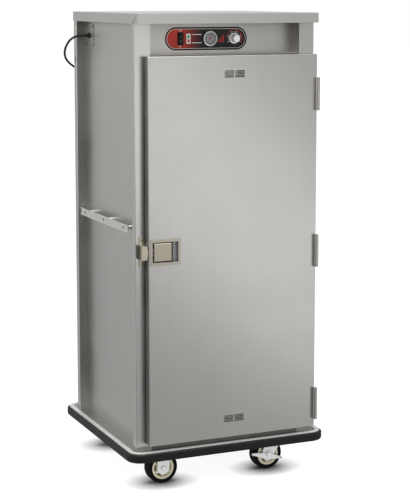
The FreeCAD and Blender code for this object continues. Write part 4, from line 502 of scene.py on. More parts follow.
def moulded(name, colour, roughness, grain, relief, worn=1.35, specular=0.5):
    """Moulded plastic or rubber: a fine grain from the mould and paler rubbed places."""
    material, tree, shader, place = start(name)
    mould = add(tree, "TexNoise", {"Vector": place, "Scale": per_size(grain)[0], "Detail": 5.0})
    rubs = add(tree, "TexNoise", {"Vector": place, "Scale": per_size(grain * 30)[0], "Detail": 3.0})
    wear = add(
        tree, "MapRange",
        {"Value": rubs, "From Min": 0.45, "From Max": 0.75, "To Min": 0.0, "To Max": 0.6},
    )
    tint = add(tree, "Mix", {FACTOR: wear, FIRST: colour, SECOND: scaled(colour, worn)}, data_type="RGBA")
    gloss = add(
        tree, "MapRange",
        {
            "Value": rubs, "From Min": 0.3, "From Max": 0.7,
            "To Min": roughness * 0.9, "To Max": roughness * 1.12,
        },
    )
    bump = add(tree, "Bump", {"Height": mould, "Strength": relief, "Distance": 0.1 * MM})
    feed(tree, shader, {
        "Base Color": tint.outputs[MIXED], "Roughness": gloss, "Normal": bump,
        "IOR": 1.5, "Specular IOR Level": specular,
    })
    return material


def black_vinyl(name):
    """Extruded vinyl bumper: black with a soft sheen and a leathery grain of about 1.5 mm."""
    return moulded(name, colours().black, 0.46, 1.5, 0.22, 1.35, 0.30)


def tyre_rubber(name):
    """Non-marking rubber tread: matt black, a little dusty."""
    return moulded(name, linear("#0F0F10"), 0.70, 1.2, 0.25, 1.5, 0.08)


def hub_nylon(name):
    """Glass-filled nylon of the wheel hubs: cream, matt, slightly mottled."""
    return moulded(name, colours().cream, 0.50, 1.6, 0.12, 1.06)


def lead_jacket(name):
    """Rubber jacket of the mains lead: black with a faint matt bloom."""
    return moulded(name, linear("#0C0C0D"), 0.50, 0.8, 0.15, 1.5, 0.25)


def black_abs(name):
    """Moulded ABS of the switch, strain relief and plug: black with a fine spark texture."""
    return moulded(name, linear("#0A0A0B"), 0.38, 0.7, 0.12, 1.35, 0.25)


def white_abs(name):
    """Moulded ABS of the lamp frame: off-white and smooth."""
    return moulded(name, colours().pale, 0.32, 0.9, 0.06, 1.03)


def gasket_silicone(name):
    """Extruded silicone door seal: dark grey and soft to the eye."""
    return moulded(name, linear("#2A2A2C"), 0.58, 1.0, 0.15)


def dial_enamel(name):
    """Enamelled dial: grey, smooth and slightly glossy."""
    return moulded(name, linear("#8D8F91"), 0.35, 1.0, 0.03, 1.04)


def needle_enamel(name):
    """Red enamel of the thermometer's needle: bright and smooth."""
    return moulded(name, linear("#D4301F"), 0.35, 1.0, 0.03, 1.1)


def strap_weave(name):
    """Woven strap of the coil's tie: ribs about 1 mm apart that catch the light."""
    material, tree, shader, place = start(name)
    weft = add(
        tree, "TexWave", {"Vector": place, "Scale": per_size(6.5)[0], "Distortion": 0.6},
        wave_type="BANDS", bands_direction="X",
    )
    fuzz = add(tree, "TexNoise", {"Vector": place, "Scale": per_size(0.6)[0], "Detail": 4.0})
    tint = add(
        tree, "Mix",
        {FACTOR: weft.outputs["Fac"], FIRST: linear("#19191A"), SECOND: linear("#313133")}, data_type="RGBA",
    )
    ribs = add(tree, "Bump", {"Height": weft.outputs["Fac"], "Strength": 0.5, "Distance": 0.2 * MM})
    nap = add(tree, "Bump", {"Height": fuzz, "Strength": 0.3, "Distance": 0.1 * MM, "Normal": ribs})
    feed(tree, shader, {
        "Base Color": tint.outputs[MIXED], "Roughness": 0.85, "Sheen Weight": 0.3, "Normal": nap,
    })
    return material


def mineral_wool(name):
    """Stone wool slab: grey-brown darkened as painted shade so the vent slits look dark, matt, with tangled
    fibres about 2 mm apart.
    """
    material, tree, shader, place = start(name)
    fibres = add(
        tree, "TexNoise",
        {"Vector": place, "Scale": per_size(2.0)[0], "Detail": 6.0, "Distortion": 1.5},
    )
    # Painted shade: the wool's grey-brown is made darker so that the slits behind the louvres read as shade
    tint = add(
        tree, "Mix",
        {FACTOR: fibres, FIRST: linear("#3A352B"), SECOND: linear("#565041")}, data_type="RGBA",
    )
    nap = add(tree, "Bump", {"Height": fibres, "Strength": 0.7, "Distance": 1.0 * MM})
    feed(tree, shader, {"Base Color": tint.outputs[MIXED], "Roughness": 0.95, "Normal": nap})
    return material


def printed_overlay(name):
    """Polycarbonate label printed on its back: glossy charcoal with a red field that fades out."""
    material, tree, shader, place = start(name)
    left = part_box("control_overlay")[0].x
    field = add(
        tree, "MapRange",
        {
            "Value": add(tree, "SeparateXYZ", {"Vector": place}).outputs["X"],
            "From Min": left + FIELD_START, "From Max": left + FIELD_END, "To Min": 1.0, "To Max": 0.0,
        },
        interpolation_type="SMOOTHSTEP",
    )
    peel = add(tree, "TexNoise", {"Vector": place, "Scale": per_size(1.0)[0], "Detail": 3.0})
    tint = add(
        tree, "Mix",
        {FACTOR: field, FIRST: colours().charcoal, SECOND: colours().red}, data_type="RGBA",
    )
    gloss = add(tree, "MapRange", {"Value": peel, "To Min": 0.24, "To Max": 0.36})
    bump = add(tree, "Bump", {"Height": peel, "Strength": 0.05, "Distance": 0.05 * MM})
    feed(tree, shader, {
        "Base Color": tint.outputs[MIXED], "Roughness": gloss, "Normal": bump,
        "IOR": 1.58, "Specular IOR Level": 0.25,
    })
    return material


def screen_ink(name, colour):
    """Screen-printed ink: a flat film with a slight unevenness of cover."""
    material, tree, shader, place = start(name)
    cover = add(tree, "TexNoise", {"Vector": place, "Scale": per_size(1.5)[0], "Detail": 3.0})
    tint = add(tree, "Mix", {FACTOR: cover, FIRST: colour, SECOND: scaled(colour, 0.88)}, data_type="RGBA")
    feed(tree, shader, {"Base Color": tint.outputs[MIXED], "Roughness": 0.4, "Specular IOR Level": 0.3})
    return material


def pale_ink(name):
    """Pale ink of the outlines, thermostat scale and pointer."""
    return screen_ink(name, colours().pale)


def red_ink(name):
    """Red ink of the heat wedge and bars."""
    return screen_ink(name, colours().red)


def black_ink(name):
    """Black ink of the overlay's border and the thermometer's scale."""
    return screen_ink(name, linear("#101011"))


def grey_ink(name):
    """Grey ink of the marks on the rocker."""
    return screen_ink(name, linear("#6C6D70"))


def acrylic_lens(name, colour):
    """Moulded acrylic lens: deep colour that lets light in, under a polished skin."""
    material, tree, shader, place = start(name)
    prisms = add(
        tree, "TexWave", {"Vector": place, "Scale": per_size(8.0)[0]},
        wave_type="BANDS", bands_direction="X",
    ).outputs["Fac"]
    tint = add(tree, "Mix", {FACTOR: prisms, FIRST: colour, SECOND: scaled(colour, 0.6)}, data_type="RGBA")
    ribs = add(tree, "Bump", {"Height": prisms, "Strength": 0.2, "Distance": 0.2 * MM})
    feed(tree, shader, {
        "Base Color": tint.outputs[MIXED], "Roughness": 0.12, "IOR": 1.49, "Transmission Weight": 0.25,
        "Normal": ribs,
    })
    return material


def green_acrylic(name):
    """Green lens of the upper lamp."""
    return acrylic_lens(name, colours().green)


def red_acrylic(name):
    """Red lens of the lower lamp."""
    return acrylic_lens(name, linear("#D0281F"))


def window_glass(name):
    """Flat drawn glass of the thermometer: clear, with a trace of ripple."""
    material, tree, shader, place = start(name)
    ripple = add(tree, "TexNoise", {"Vector": place, "Scale": per_size(20)[0], "Detail": 1.0})
    bump = add(tree, "Bump", {"Height": ripple, "Strength": 0.02, "Distance": 0.1 * MM})
    feed(tree, shader, {
        "Base Color": linear("#FCFDFC"), "Roughness": 0.02, "IOR": 1.45, "Transmission Weight": 1.0,
        "Normal": bump,
    })
    return material


def studio_paper(name):
    """Pale paper floor that glows nearly white and takes some light from the lamps, with painted shadow where
    something stands close to it.
    """
    material, tree, shader, place = start(name)
    tooth = add(tree, "TexNoise", {"Vector": place, "Scale": per_size(3.0)[0], "Detail": 4.0})
    tint = add(
        tree, "Mix",
        {FACTOR: tooth, FIRST: linear("#8C8C8B"), SECOND: linear("#868685")}, data_type="RGBA",
    )
    # Painted shadow: the floor's glow falls with ambient occlusion within 105 mm of anything that stands
    # close to it
    near = add(tree, "AmbientOcclusion", {"Color": linear("#FFFFFF"), "Distance": 105 * MM}, samples=16)
    painted_contact_shadow = add(tree, "Math", {0: near.outputs["AO"], 1: 4.0}, operation="POWER")
    shade = add(tree, "Math", {0: painted_contact_shadow, 1: 0.90}, operation="MULTIPLY")
    feed(tree, shader, {
        "Base Color": tint.outputs[MIXED], "Roughness": 0.9, "Emission Color": linear("#FFFFFF"),
        "Emission Strength": shade,
    })
    return material


def dress(make, *nodes):
    """Gives nodes of the frame a finish."""
    material = finish(make)
    for node in nodes:
        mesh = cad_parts[node].data
        mesh.materials.clear()
        mesh.materials.append(material)


def piece(name, shape, make, body, smooth=None):
    """Object made of a finished shape, dressed, shaded and riding on a body of the frame."""
    bmesh.ops.recalc_face_normals(shape, faces=shape.faces)
    mesh = bpy.data.meshes.new(name)
    shape.to_mesh(mesh)
    shape.free()
    if smooth is not None:
        mesh.shade_smooth()
        mesh.set_sharp_from_angle(angle=smooth)
    mesh.materials.append(finish(make))
    made = bpy.data.objects.new(name, mesh)
    bpy.context.scene.collection.objects.link(made)
    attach(made, body)
    return made


def skin(shape, rings, capped=True):
    """Faces between rings of points, with the first and last rings filled."""
    loops = [[shape.verts.new(point) for point in ring] for ring in rings]
    for low, high in zip(loops, loops[1:]):
        for index in range(len(low)):
            after = (index + 1) % len(low)
            shape.faces.new((low[index], low[after], high[after], high[index]))
    if capped:
        shape.faces.new(loops[0][::-1])
        shape.faces.new(loops[-1])


def hang(shape, foot, sections):
    """Solid through level sections, each an outline some way below a foot."""
    skin(shape, [[foot + Vector((x, y, -drop)) for x, y in outline] for drop, outline in sections])


def rounded(width, height, radius, steps=8):
    """Outline of a rectangle with round corners, about its middle."""
    points = []
    for quarter, (side, end) in enumerate(((1, 1), (-1, 1), (-1, -1), (1, -1))):
        middle = (side * (width / 2 - radius), end * (height / 2 - radius))
        for step in range(steps + 1):
            angle = math.pi / 2 * (quarter + step / steps)
            points.append((middle[0] + radius * math.cos(angle), middle[1] + radius * math.sin(angle)))
    return points


def circle(radius, steps=8):
    """Outline of a circle, a hair off round so that no two points fall together."""
    return rounded(2 * radius, 2 * radius, radius * 0.999, steps)


def film(shape, outline, middle, front, thickness):
    """Thin sheet that faces forward, from an outline across and up, about a middle."""
    rings = []
    for y in (front - thickness, front):
        rings.append([(middle[0] + across, y, middle[1] + up) for across, up in outline])
    skin(shape, rings)


def film_ring(shape, outer, inner, middle, front, thickness):
    """Thin sheet between two outlines of as many points."""
    count = len(outer)
    for index in range(count):
        after = (index + 1) % count
        film(shape, (outer[index], outer[after], inner[after], inner[index]), middle, front, thickness)


def ray(angle, radius):
    """Point across and up, at an angle from straight up, clockwise."""
    return (radius * math.sin(angle), radius * math.cos(angle))


def tick(angle, inner, outer, width):
    """Outline of a radial mark."""
    side = Vector(ray(angle + math.pi / 2, width / 2))
    near = Vector(ray(angle, inner))
    far = Vector(ray(angle, outer))
    return [tuple(point) for point in (near - side, far - side, far + side, near + side)]


def lettering(shape, words, front, thickness):
    """Raised words, each with its middle across and up and its height."""
    for text, across, up, height in words:
        curve = bpy.data.curves.new("word", "FONT")
        curve.body = text
        curve.size = height
        curve.extrude = thickness / 2
        curve.align_x = "CENTER"
        curve.align_y = "CENTER"
        word = bpy.data.objects.new("word", curve)
        bpy.context.scene.collection.objects.link(word)
        bpy.context.view_layer.update()
        mesh = bpy.data.meshes.new_from_object(word.evaluated_get(bpy.context.evaluated_depsgraph_get()))
        place = Matrix.Translation((across, front - thickness / 2, up))
        mesh.transform(place @ Matrix.Rotation(math.pi / 2, 4, "X"))
        shape.from_mesh(mesh)
        bpy.data.objects.remove(word)
        bpy.data.curves.remove(curve)
        bpy.data.meshes.remove(mesh)


def dial_scale(shape, scale, middle, front):
    """Long and short ticks round a middle, with a number at each long one."""
    words = []
    for mark in range(scale["marks"]):
        angle = math.radians(scale["first"] + scale["step"] * mark)
        whole = mark % scale["numbered"] == 0
        near, far, width = [size * MM for size in scale["long" if whole else "short"]]
        film(shape, tick(angle, near, far, width), middle, front, sizes().ink)
        if whole:
            radius, height = [size * MM for size in scale["numbers"]]
            across, up = ray(angle, radius)
            number = str(round(mark * scale["unit"]))
            words.append((number, middle[0] + across, middle[1] + up, height))
    lettering(shape, words, front, sizes().ink)


def middle_of(node):
    """Middle of a node across and up, and its front."""
    low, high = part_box(node)
    return ((low.x + high.x) / 2, (low.z + high.z) / 2), low.y


def face_of(node, across, up):
    """Depth of a node's front face at a place across and up."""
    ahead = Vector((across, CAD_BOX[0][1], up))
    hit, place, _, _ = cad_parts[node].ray_cast(ahead, Vector((0, 1, 0)))
    if not hit:
        raise RuntimeError("a mark misses " + node)
    return place.y


class CABINET_OT_stage(bpy.types.Operator):
    """Camera, floor, studio lights and surroundings"""

    bl_idname = "cabinet.stage"
    bl_label = "Studio"

    def execute(self, context):
        scene = context.scene
        scene.view_settings.view_transform = "Standard"
        self.camera(scene)
        self.floor(scene)
        self.surroundings(scene)
        for name, settings in SOFTBOXES.items():
            self.softbox(scene, name, *settings)
        return {"FINISHED"}

    def camera(self, scene):
        back = Vector((
            math.sin(CAMERA_YAW) * math.cos(CAMERA_PITCH),
            -math.cos(CAMERA_YAW) * math.cos(CAMERA_PITCH),
            math.sin(CAMERA_PITCH),
        ))
        right = Vector((math.cos(CAMERA_YAW), math.sin(CAMERA_YAW), 0.0))
        lens = bpy.data.cameras.new("camera")
        lens.lens = CAMERA_LENS
        lens.sensor_width = CAMERA_SENSOR
        lens.sensor_height = CAMERA_SENSOR
        lens.shift_y = CAMERA_SHIFT_Y
        camera = bpy.data.objects.new("camera", lens)
        turn = Matrix((right, back.cross(right), back)).transposed().to_4x4()
        camera.matrix_world = Matrix.Translation(CAMERA_PLACE) @ turn
        scene.collection.objects.link(camera)
        scene.camera = camera

    def floor(self, scene):
        sheet = bmesh.new()
        bmesh.ops.create_grid(sheet, x_segments=8, y_segments=8, size=FLOOR_REACH)
        mesh = bpy.data.meshes.new("studio_floor")
        sheet.to_mesh(mesh)
        sheet.free()
        mesh.materials.append(finish(studio_paper))
        floor = bpy.data.objects.new("studio_floor", mesh)
        floor.visible_glossy = False
        scene.collection.objects.link(floor)

    def surroundings(self, scene):
        world = bpy.data.worlds.new("studio")
        world.use_nodes = True
        tree = world.node_tree
        direction = add(tree, "TexCoord").outputs["Generated"]
        lit = add(
            tree, "MapRange",
            {
                "Value": add(tree, "SeparateXYZ", {"Vector": direction}).outputs["Z"],
                "From Min": ROOM_HEIGHTS[0], "From Max": ROOM_HEIGHTS[1],
                "To Min": ROOM_LOW, "To Max": ROOM_HIGH,
            },
        )
        for side, glow in ((WALL_SIDE, WALL_GLOW), (WINDOW_SIDE, WINDOW_GLOW)):
            part = self.towards(tree, direction, side, GLOW_SPREAD, (0.0, glow))
            lit = add(tree, "Math", {0: lit, 1: part}, operation="ADD")
        dim = self.towards(tree, direction, FRONT_SIDE, FRONT_SPREAD, (1.0, FRONT_DIM))
        room = add(tree, "Math", {0: lit, 1: dim}, operation="MULTIPLY")
        seen = add(tree, "LightPath").outputs["Is Camera Ray"]
        strength = add(tree, "Mix", {0: seen, 2: room, 3: 1.0}, data_type="FLOAT")
        feed(tree, tree.nodes["Background"], {"Color": linear("#FFFFFF"), "Strength": strength})
        scene.world = world

    def towards(self, tree, direction, side, spread, values):
        """Value that changes as a direction comes near to one side of the room."""
        facing = add(tree, "VectorMath", {0: direction, 1: side}, operation="DOT_PRODUCT")
        change = {
            "Value": facing.outputs["Value"], "From Min": spread[0], "From Max": spread[1],
            "To Min": values[0], "To Max": values[1],
        }
        return add(tree, "MapRange", change, interpolation_type="SMOOTHSTEP")

    def softbox(self, scene, name, place, aim, size, watts, roll, mirrored):
        lamp = bpy.data.lights.new(name, "AREA")
        lamp.shape = "RECTANGLE"
        lamp.size, lamp.size_y = size
        lamp.energy = watts
        box = bpy.data.objects.new(name, lamp)
        look = (Vector(aim) - Vector(place)).to_track_quat("-Z", "Y").to_matrix().to_4x4()
        box.matrix_world = Matrix.Translation(place) @ look @ Matrix.Rotation(roll, 4, "Z")
        box.visible_camera = False
        box.visible_glossy = mirrored
        scene.collection.objects.link(box)


class CABINET_OT_lead(bpy.types.Operator):
    """Mains lead with its coil, tie and plug"""

    bl_idname = "cabinet.lead"
    bl_label = "Mains lead"

    def execute(self, context):
        lead = self.lead(context.scene)
        tie = self.tie()
        plug = self.plug()
        pins = self.pins()
        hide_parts("cord_lead", "cord_coil")
        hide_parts("cord_plug")
        dress(black_abs, "cord_gland")
        dress(mill_stainless, "cord_plate")
        dress(bright_zinc, "cord_hook")
        return {"FINISHED"}

    def coil_points(self):
        """Points of the coil: in along one layer, across, and out along the next."""
        total = 2 * COIL_SPIRAL_TURNS + COIL_CROSSING_TURNS
        outer = COIL_INNER_R + COIL_PITCH * COIL_SPIRAL_TURNS
        steps = round(total * sizes().lead_turn_points)
        points = []
        for step in range(steps + 1):
            turn = total * step / steps
            crossing = min(max((turn - COIL_SPIRAL_TURNS) / COIL_CROSSING_TURNS, 0.0), 1.0)
            wound = min(turn, total - turn, COIL_SPIRAL_TURNS)
            radius = outer - COIL_PITCH * wound
            angle = math.pi + 2 * math.pi * turn
            climb = COIL_LAYER * crossing * crossing * (3 - 2 * crossing)
            points.append(COIL_CENTRE + Vector((radius * math.cos(angle), climb, radius * math.sin(angle))))
        return points

    def tail(self):
        """Bottom of the straight tail that carries the plug."""
        return self.coil_points()[-1] - Vector((0, 0, COIL_TAIL))

    def lead(self, scene):
        points = list(LEAD_ROUTE) + self.coil_points() + [self.tail()]
        curve = bpy.data.curves.new("mains_lead", "CURVE")
        curve.dimensions = "3D"
        curve.bevel_depth = sizes().lead_diameter / 2
        curve.bevel_resolution = 6
        curve.resolution_u = 5
        curve.use_fill_caps = True
        spline = curve.splines.new("NURBS")
        spline.points.add(len(points) - 1)
        for control, point in zip(spline.points, points):
            control.co = (*point, 1.0)
        spline.order_u = 3
        spline.use_endpoint_u = True
        curve.materials.append(finish(lead_jacket))
        lead = bpy.data.objects.new("mains_lead", curve)
        scene.collection.objects.link(lead)
        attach(lead, "root")
        return lead

    def tie(self):
        """Woven strap round the lowest part of the coil, with its end lapped over."""
        radius = sizes().lead_diameter / 2
        outer = COIL_INNER_R + COIL_PITCH * COIL_SPIRAL_TURNS
        reach = outer - COIL_INNER_R + 2 * (radius + TIE_SLACK)
        depth = COIL_LAYER + 2 * (radius + TIE_SLACK)
        middle = COIL_CENTRE + Vector((0, COIL_LAYER / 2, -(outer + COIL_INNER_R) / 2))
        thick = sizes().tie_thickness
        crown = TIE_CROWN * thick
        half = sizes().tie_width / 2
        rings = []
        for across, height in (
            (-half, 0.0), (-half, thick), (thick - half, crown),
            (half - thick, crown), (half, thick), (half, 0.0),
        ):
            line = rounded(depth + 2 * height, reach + 2 * height, radius + height)
            rings.append([middle + Vector((across, y, z)) for y, z in line])
        shape = bmesh.new()
        skin(shape, rings + rings[:1], capped=False)
        bmesh.ops.remove_doubles(shape, verts=shape.verts, dist=0.001 * MM)
        lap = rounded(2 * half * TIE_LAP_WIDTH, reach * TIE_LAP_REACH, TIE_LAP_CORNER)
        back = middle.y + depth / 2 + crown + thick
        film(shape, lap, (middle.x, middle.z), back, thick * TIE_LAP_THICKNESS)
        return piece("lead_tie", shape, strap_weave, "root", math.radians(40))

    def plug(self):
        """Moulded plug body with a ribbed neck and finger grips, narrowing to the lead."""
        low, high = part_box("cord_plug")
        radius = sizes().lead_diameter / 2
        sections = []
        for rib in range(NECK_RIBS):
            for share, swell in ((0.0, 0.0), (0.45, 0.0), (0.5, NECK_RIB_HEIGHT), (0.95, NECK_RIB_HEIGHT)):
                along = (rib + share) / NECK_RIBS
                sections.append((PLUG_NECK * along, circle(radius + NECK_WALL + NECK_FLARE * along + swell)))
        for drop, share in PLUG_SECTIONS:
            line = rounded((high.x - low.x) * share, PLUG_DEPTH * share, PLUG_CORNER * share)
            sections.append((PLUG_NECK + drop * MM, line))
        shape = bmesh.new()
        hang(shape, self.tail(), sections)
        return piece("lead_plug", shape, black_abs, "root", math.radians(35))

    def pins(self):
        """Two flat blades and a round earth pin with a tapered end."""
        face = self.tail() - Vector((0, 0, PLUG_NECK + PLUG_BODY))
        blade = [
            (drop * MM, rounded(thick * MM, wide * MM, BLADE_CORNER, 3))
            for drop, wide, thick in BLADE_SECTIONS
        ]
        earth = [(drop * MM, circle(radius * MM, 6)) for drop, radius in EARTH_SECTIONS]
        shape = bmesh.new()
        for side in (-1, 1):
            hang(shape, face + Vector((side * BLADE_SPREAD, BLADE_DEPTH, 0)), blade)
        hang(shape, face + Vector((0, EARTH_DEPTH, 0)), earth)
        return piece("plug_pins", shape, nickel_brass, "root", math.radians(35))


class CABINET_OT_body(bpy.types.Operator):
    """Brushed stainless body, handles and screws"""

    bl_idname = "cabinet.body"
    bl_label = "Steel body"

    def execute(self, context):
        dress(post_stainless, "corner_posts", "handle_spacers")
        dress(satin_stainless, "side_panels")
        dress(upright_stainless, "rear_panel")
        dress(level_stainless, "top_cap")
        dress(mill_stainless, "control_fascia")
        dress(rail_stainless, "door_frame_rails")
        dress(deck_stainless, "base_frame")
        dress(frosted_stainless, "side_handles")
        dress(screw_steel, "fasteners")
        return {"FINISHED"}


class CABINET_OT_door(bpy.types.Operator):
    """Door with its seal, hinges, latch and vent louvres"""

    bl_idname = "cabinet.door"
    bl_label = "Door"

    def execute(self, context):
        dress(upright_stainless, "door_skin", "door_liner")
        dress(mineral_wool, "door_core")
        dress(gasket_silicone, "door_gasket")
        dress(hinge_steel, "hinge_frame_halves", "hinge_door_halves")
        dress(satin_nickel, "latch_strike")
        dress(handled_nickel, "latch_paddle")
        dress(latch_cup, "latch_case")
        dress(bright_zinc, "latch_bolt")
        self.louvres()
        return {"FINISHED"}

    def louvres(self):
        """Pressed lip over each slit of the two vents."""
        low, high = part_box("door_skin")
        middle = (low.x + high.x) / 2
        shape = bmesh.new()
        for centre in (low.z + VENT_RISE, high.z - VENT_DROP):
            for column in (-1, 1):
                for row in SLIT_ROWS:
                    up = centre + row * SLIT_PITCH + LIP_RISE
                    self.lip(shape, middle + column * SLIT_SPREAD, low.y, up)
        piece("vent_louvres", shape, rail_stainless, "door", math.radians(60))

    def lip(self, shape, middle, front, up):
        """Half-round lip over one slit, fading into the sheet at its ends."""
        rings = []
        for step in range(LIP_STEPS + 1):
            along = -1 + 2 * step / LIP_STEPS
            across = middle + LIP_HALF_LENGTH * along
            swell = sizes().louvre * max(1 - along ** 6, 0.03)
            ring = []
            for turn in range(LIP_TURNS + 1):
                out, rise = ray(math.pi * turn / LIP_TURNS, 1.0)
                ring.append((across, front - swell * out, up + LIP_HALF_HEIGHT * rise))
            rings.append(ring)
        skin(shape, rings)


class CABINET_OT_controls(bpy.types.Operator):
    """Printed overlay, switch, lamps, thermometer and thermostat"""

    bl_idname = "cabinet.controls"
    bl_label = "Controls"

    def execute(self, context):
        dress(printed_overlay, "control_overlay")
        dress(black_abs, "switch_bezel", "switch_rocker", "thermostat_body")
        dress(white_abs, "lamp_bezel")
        dress(green_acrylic, "green_lens")
        dress(red_acrylic, "red_lens")
        dress(chrome_plate, "thermometer_case")
        dress(bright_zinc, "thermostat_knob")
        dress(dial_enamel, "thermometer_dial")
        dress(needle_enamel, "thermometer_needle")
        dress(window_glass, "thermometer_glass")
        self.border()
        self.outlines()
        self.heat_wedge()
        self.heat_bars()
        self.thermostat_scale()
        self.thermometer_scale()
        self.pointer()
        self.switch_marks()
        return {"FINISHED"}

    def band(self, shape, insets):
        """Band along the overlay's edge, between two distances in from it."""
        low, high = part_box("control_overlay")
        width, height = high.x - low.x, high.z - low.z
        outer, inner = [
            rounded(width - 2 * inset, height - 2 * inset, height / 2 - inset, 16) for inset in insets
        ]
        middle, front = middle_of("control_overlay")
        film_ring(shape, outer, inner, middle, front, sizes().ink)

    def border(self):
        """Black band along the overlay's edge."""
        shape = bmesh.new()
        self.band(shape, BORDER_INSETS)
        piece("overlay_border", shape, black_ink, "root")

    def outlines(self):
        """Pale line inside the border, two rules beside the lamps, and the switch's words."""
        middle, front = middle_of("control_overlay")
        shape = bmesh.new()
        self.band(shape, LINE_INSETS)
        lamp_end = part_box("lamp_bezel")[1].x + RULE_GAP
        meter_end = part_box("thermometer_case")[0].x - RULE_GAP
        rule = rounded(meter_end - lamp_end, RULE_WIDTH, RULE_CORNER, 4)
        for up in (-RULE_RISE, RULE_RISE):
            film(shape, rule, ((lamp_end + meter_end) / 2, middle[1] + up), front, sizes().ink)
        low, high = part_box("switch_bezel")
        across = (low.x + high.x) / 2
        words = (
            ("ON", across, high.z + WORD_GAP, WORD_HEIGHT),
            ("OFF", across, low.z - WORD_GAP, WORD_HEIGHT),
        )
        lettering(shape, words, front, sizes().ink)
        piece("overlay_outlines", shape, pale_ink, "root")

    def heat_wedge(self):
        """Red wedge that widens round the thermostat from low to high."""
        knob, _ = middle_of("thermostat_knob")
        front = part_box("control_overlay")[0].y
        shape = bmesh.new()
        for step in range(WEDGE_STEPS):
            shares = (step / WEDGE_STEPS, (step + 1) / WEDGE_STEPS)
            near = [ray(WEDGE_TURN * (2 * share - 1), WEDGE_NEAR) for share in shares]
            far = [
                ray(WEDGE_TURN * (2 * share - 1), WEDGE_NEAR + WEDGE_START + WEDGE_GROWTH * share)
                for share in shares
            ]
            film(shape, (near[0], far[0], far[1], near[1]), knob, front, sizes().ink)
        piece("heat_wedge", shape, red_ink, "root")

    def heat_bars(self):
        """Row of red bars that grow towards the thermostat."""
        knob, _ = middle_of("thermostat_knob")
        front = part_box("control_overlay")[0].y
        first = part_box("thermometer_case")[1].x + BAR_GAP
        shape = bmesh.new()
        for bar in range(BARS):
            tall = BAR_HEIGHT + BAR_GROWTH * bar
            place = (first + bar * BAR_PITCH, knob[1] - BAR_DROP + tall / 2)
            film(shape, rounded(BAR_WIDTH, tall, BAR_CORNER, 4), place, front, sizes().ink)
        piece("heat_bars", shape, red_ink, "root")

    def thermostat_scale(self):
        """Tick marks and numbers round the thermostat."""
        knob, _ = middle_of("thermostat_knob")
        shape = bmesh.new()
        dial_scale(shape, THERMOSTAT_SCALE, knob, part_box("control_overlay")[0].y)
        piece("thermostat_scale", shape, pale_ink, "root")

    def thermometer_scale(self):
        """Ticks and numbers on the thermometer's dial, behind the needle's pin."""
        middle, _ = middle_of("thermometer_dial")
        face = face_of("thermometer_dial", middle[0], middle[1] - DIAL_BARE)
        shape = bmesh.new()
        dial_scale(shape, THERMOMETER_SCALE, middle, face)
        piece("thermometer_scale", shape, black_ink, "root")

    def pointer(self):
        """Pale pointer let into the thermostat knob's face."""
        knob, front = middle_of("thermostat_knob")
        shape = bmesh.new()
        line = tick(POINTER_ANGLE, POINTER_NEAR, POINTER_FAR, sizes().pointer)
        film(shape, line, knob, front, POINTER_HEIGHT)
        bmesh.ops.bevel(shape, geom=shape.edges[:], offset=POINTER_EDGE, segments=2, affect="EDGES")
        piece("knob_pointer", shape, pale_ink, "knob")

    def switch_marks(self):
        """On and off marks laid on the rocker's two faces."""
        low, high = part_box("switch_rocker")
        middle, _ = middle_of("switch_rocker")
        quarter = (high.z - low.z) / 4
        shape = bmesh.new()
        bar = rounded(MARK_WIDTH, MARK_SIZE, MARK_CORNER, 3)
        film(shape, bar, (middle[0], middle[1] + quarter), 0.0, sizes().ink)
        outer, inner = [rounded(size, size, size / 2 - MARK_HAIR) for size in (MARK_SIZE, MARK_BORE)]
        film_ring(shape, outer, inner, (middle[0], middle[1] - quarter), 0.0, sizes().ink)
        for vert in shape.verts:
            vert.co.y += face_of("switch_rocker", vert.co.x, vert.co.z)
        piece("switch_marks", shape, grey_ink, "rocker")


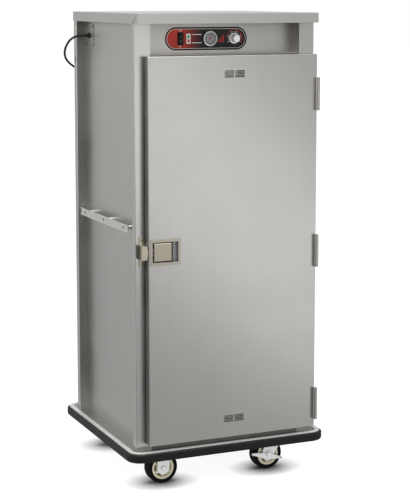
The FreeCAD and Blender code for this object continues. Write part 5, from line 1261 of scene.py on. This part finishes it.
class CABINET_OT_base(bpy.types.Operator):
    """Bumper, its rail and the four casters"""

    bl_idname = "cabinet.base"
    bl_label = "Base and casters"

    def execute(self, context):
        dress(mill_aluminium, "bumper_rail")
        dress(black_vinyl, "bumper")
        dress(bright_zinc, "rigid_forks", "swivel_plates")
        for end in ("front", "rear"):
            dress(bright_zinc, "swivel_fork_" + end, "brake_pedal_" + end)
            for side in ("_left", "_right"):
                dress(hub_nylon, "hub_" + end + side)
                dress(tyre_rubber, "tyre_" + end + side)
        return {"FINISHED"}


class CABINET_OT_interior(bpy.types.Operator):
    """Heated cavity with its shelves and heater"""

    bl_idname = "cabinet.interior"
    bl_label = "Interior"

    def execute(self, context):
        dress(upright_stainless, "cavity_liner", "shelf_uprights")
        dress(level_stainless, "heater_cover")
        dress(chrome_plate, "shelves")
        dress(sheathed_alloy, "heater_element")
        dress(mineral_wool, "wall_insulation")
        return {"FINISHED"}


OPERATORS = (
    CABINET_OT_stage, CABINET_OT_lead, CABINET_OT_body, CABINET_OT_door, CABINET_OT_controls, CABINET_OT_base,
    CABINET_OT_interior,
)


class CABINET_PT_panel(bpy.types.Panel):
    """Lists the cabinet's pieces, sizes and colours"""

    bl_idname = "CABINET_PT_panel"
    bl_label = "Cabinet"
    bl_space_type = "VIEW_3D"
    bl_region_type = "UI"
    bl_category = "Cabinet"

    def draw(self, context):
        for operator in OPERATORS:
            self.layout.operator(operator.bl_idname)
        for group in (context.scene.cabinet_sizes, context.scene.cabinet_colours):
            for name in group.__annotations__:
                self.layout.prop(group, name)


CLASSES = (CabinetSizes, CabinetColours) + OPERATORS + (CABINET_PT_panel,)


def register():
    """Adds the classes and the scene's settings."""
    for entry in CLASSES:
        bpy.utils.register_class(entry)
    bpy.types.Scene.cabinet_sizes = bpy.props.PointerProperty(type=CabinetSizes)
    bpy.types.Scene.cabinet_colours = bpy.props.PointerProperty(type=CabinetColours)


def unregister():
    """Takes the settings and the classes away."""
    del bpy.types.Scene.cabinet_colours
    del bpy.types.Scene.cabinet_sizes
    for entry in reversed(CLASSES):
        bpy.utils.unregister_class(entry)


def main():
    """Builds the dressed cabinet in its studio."""
    register()
    bpy.ops.cabinet.stage()
    bpy.ops.cabinet.lead()
    bpy.ops.cabinet.body()
    bpy.ops.cabinet.door()
    bpy.ops.cabinet.controls()
    bpy.ops.cabinet.base()
    bpy.ops.cabinet.interior()


if __name__ == "__main__":
    main()
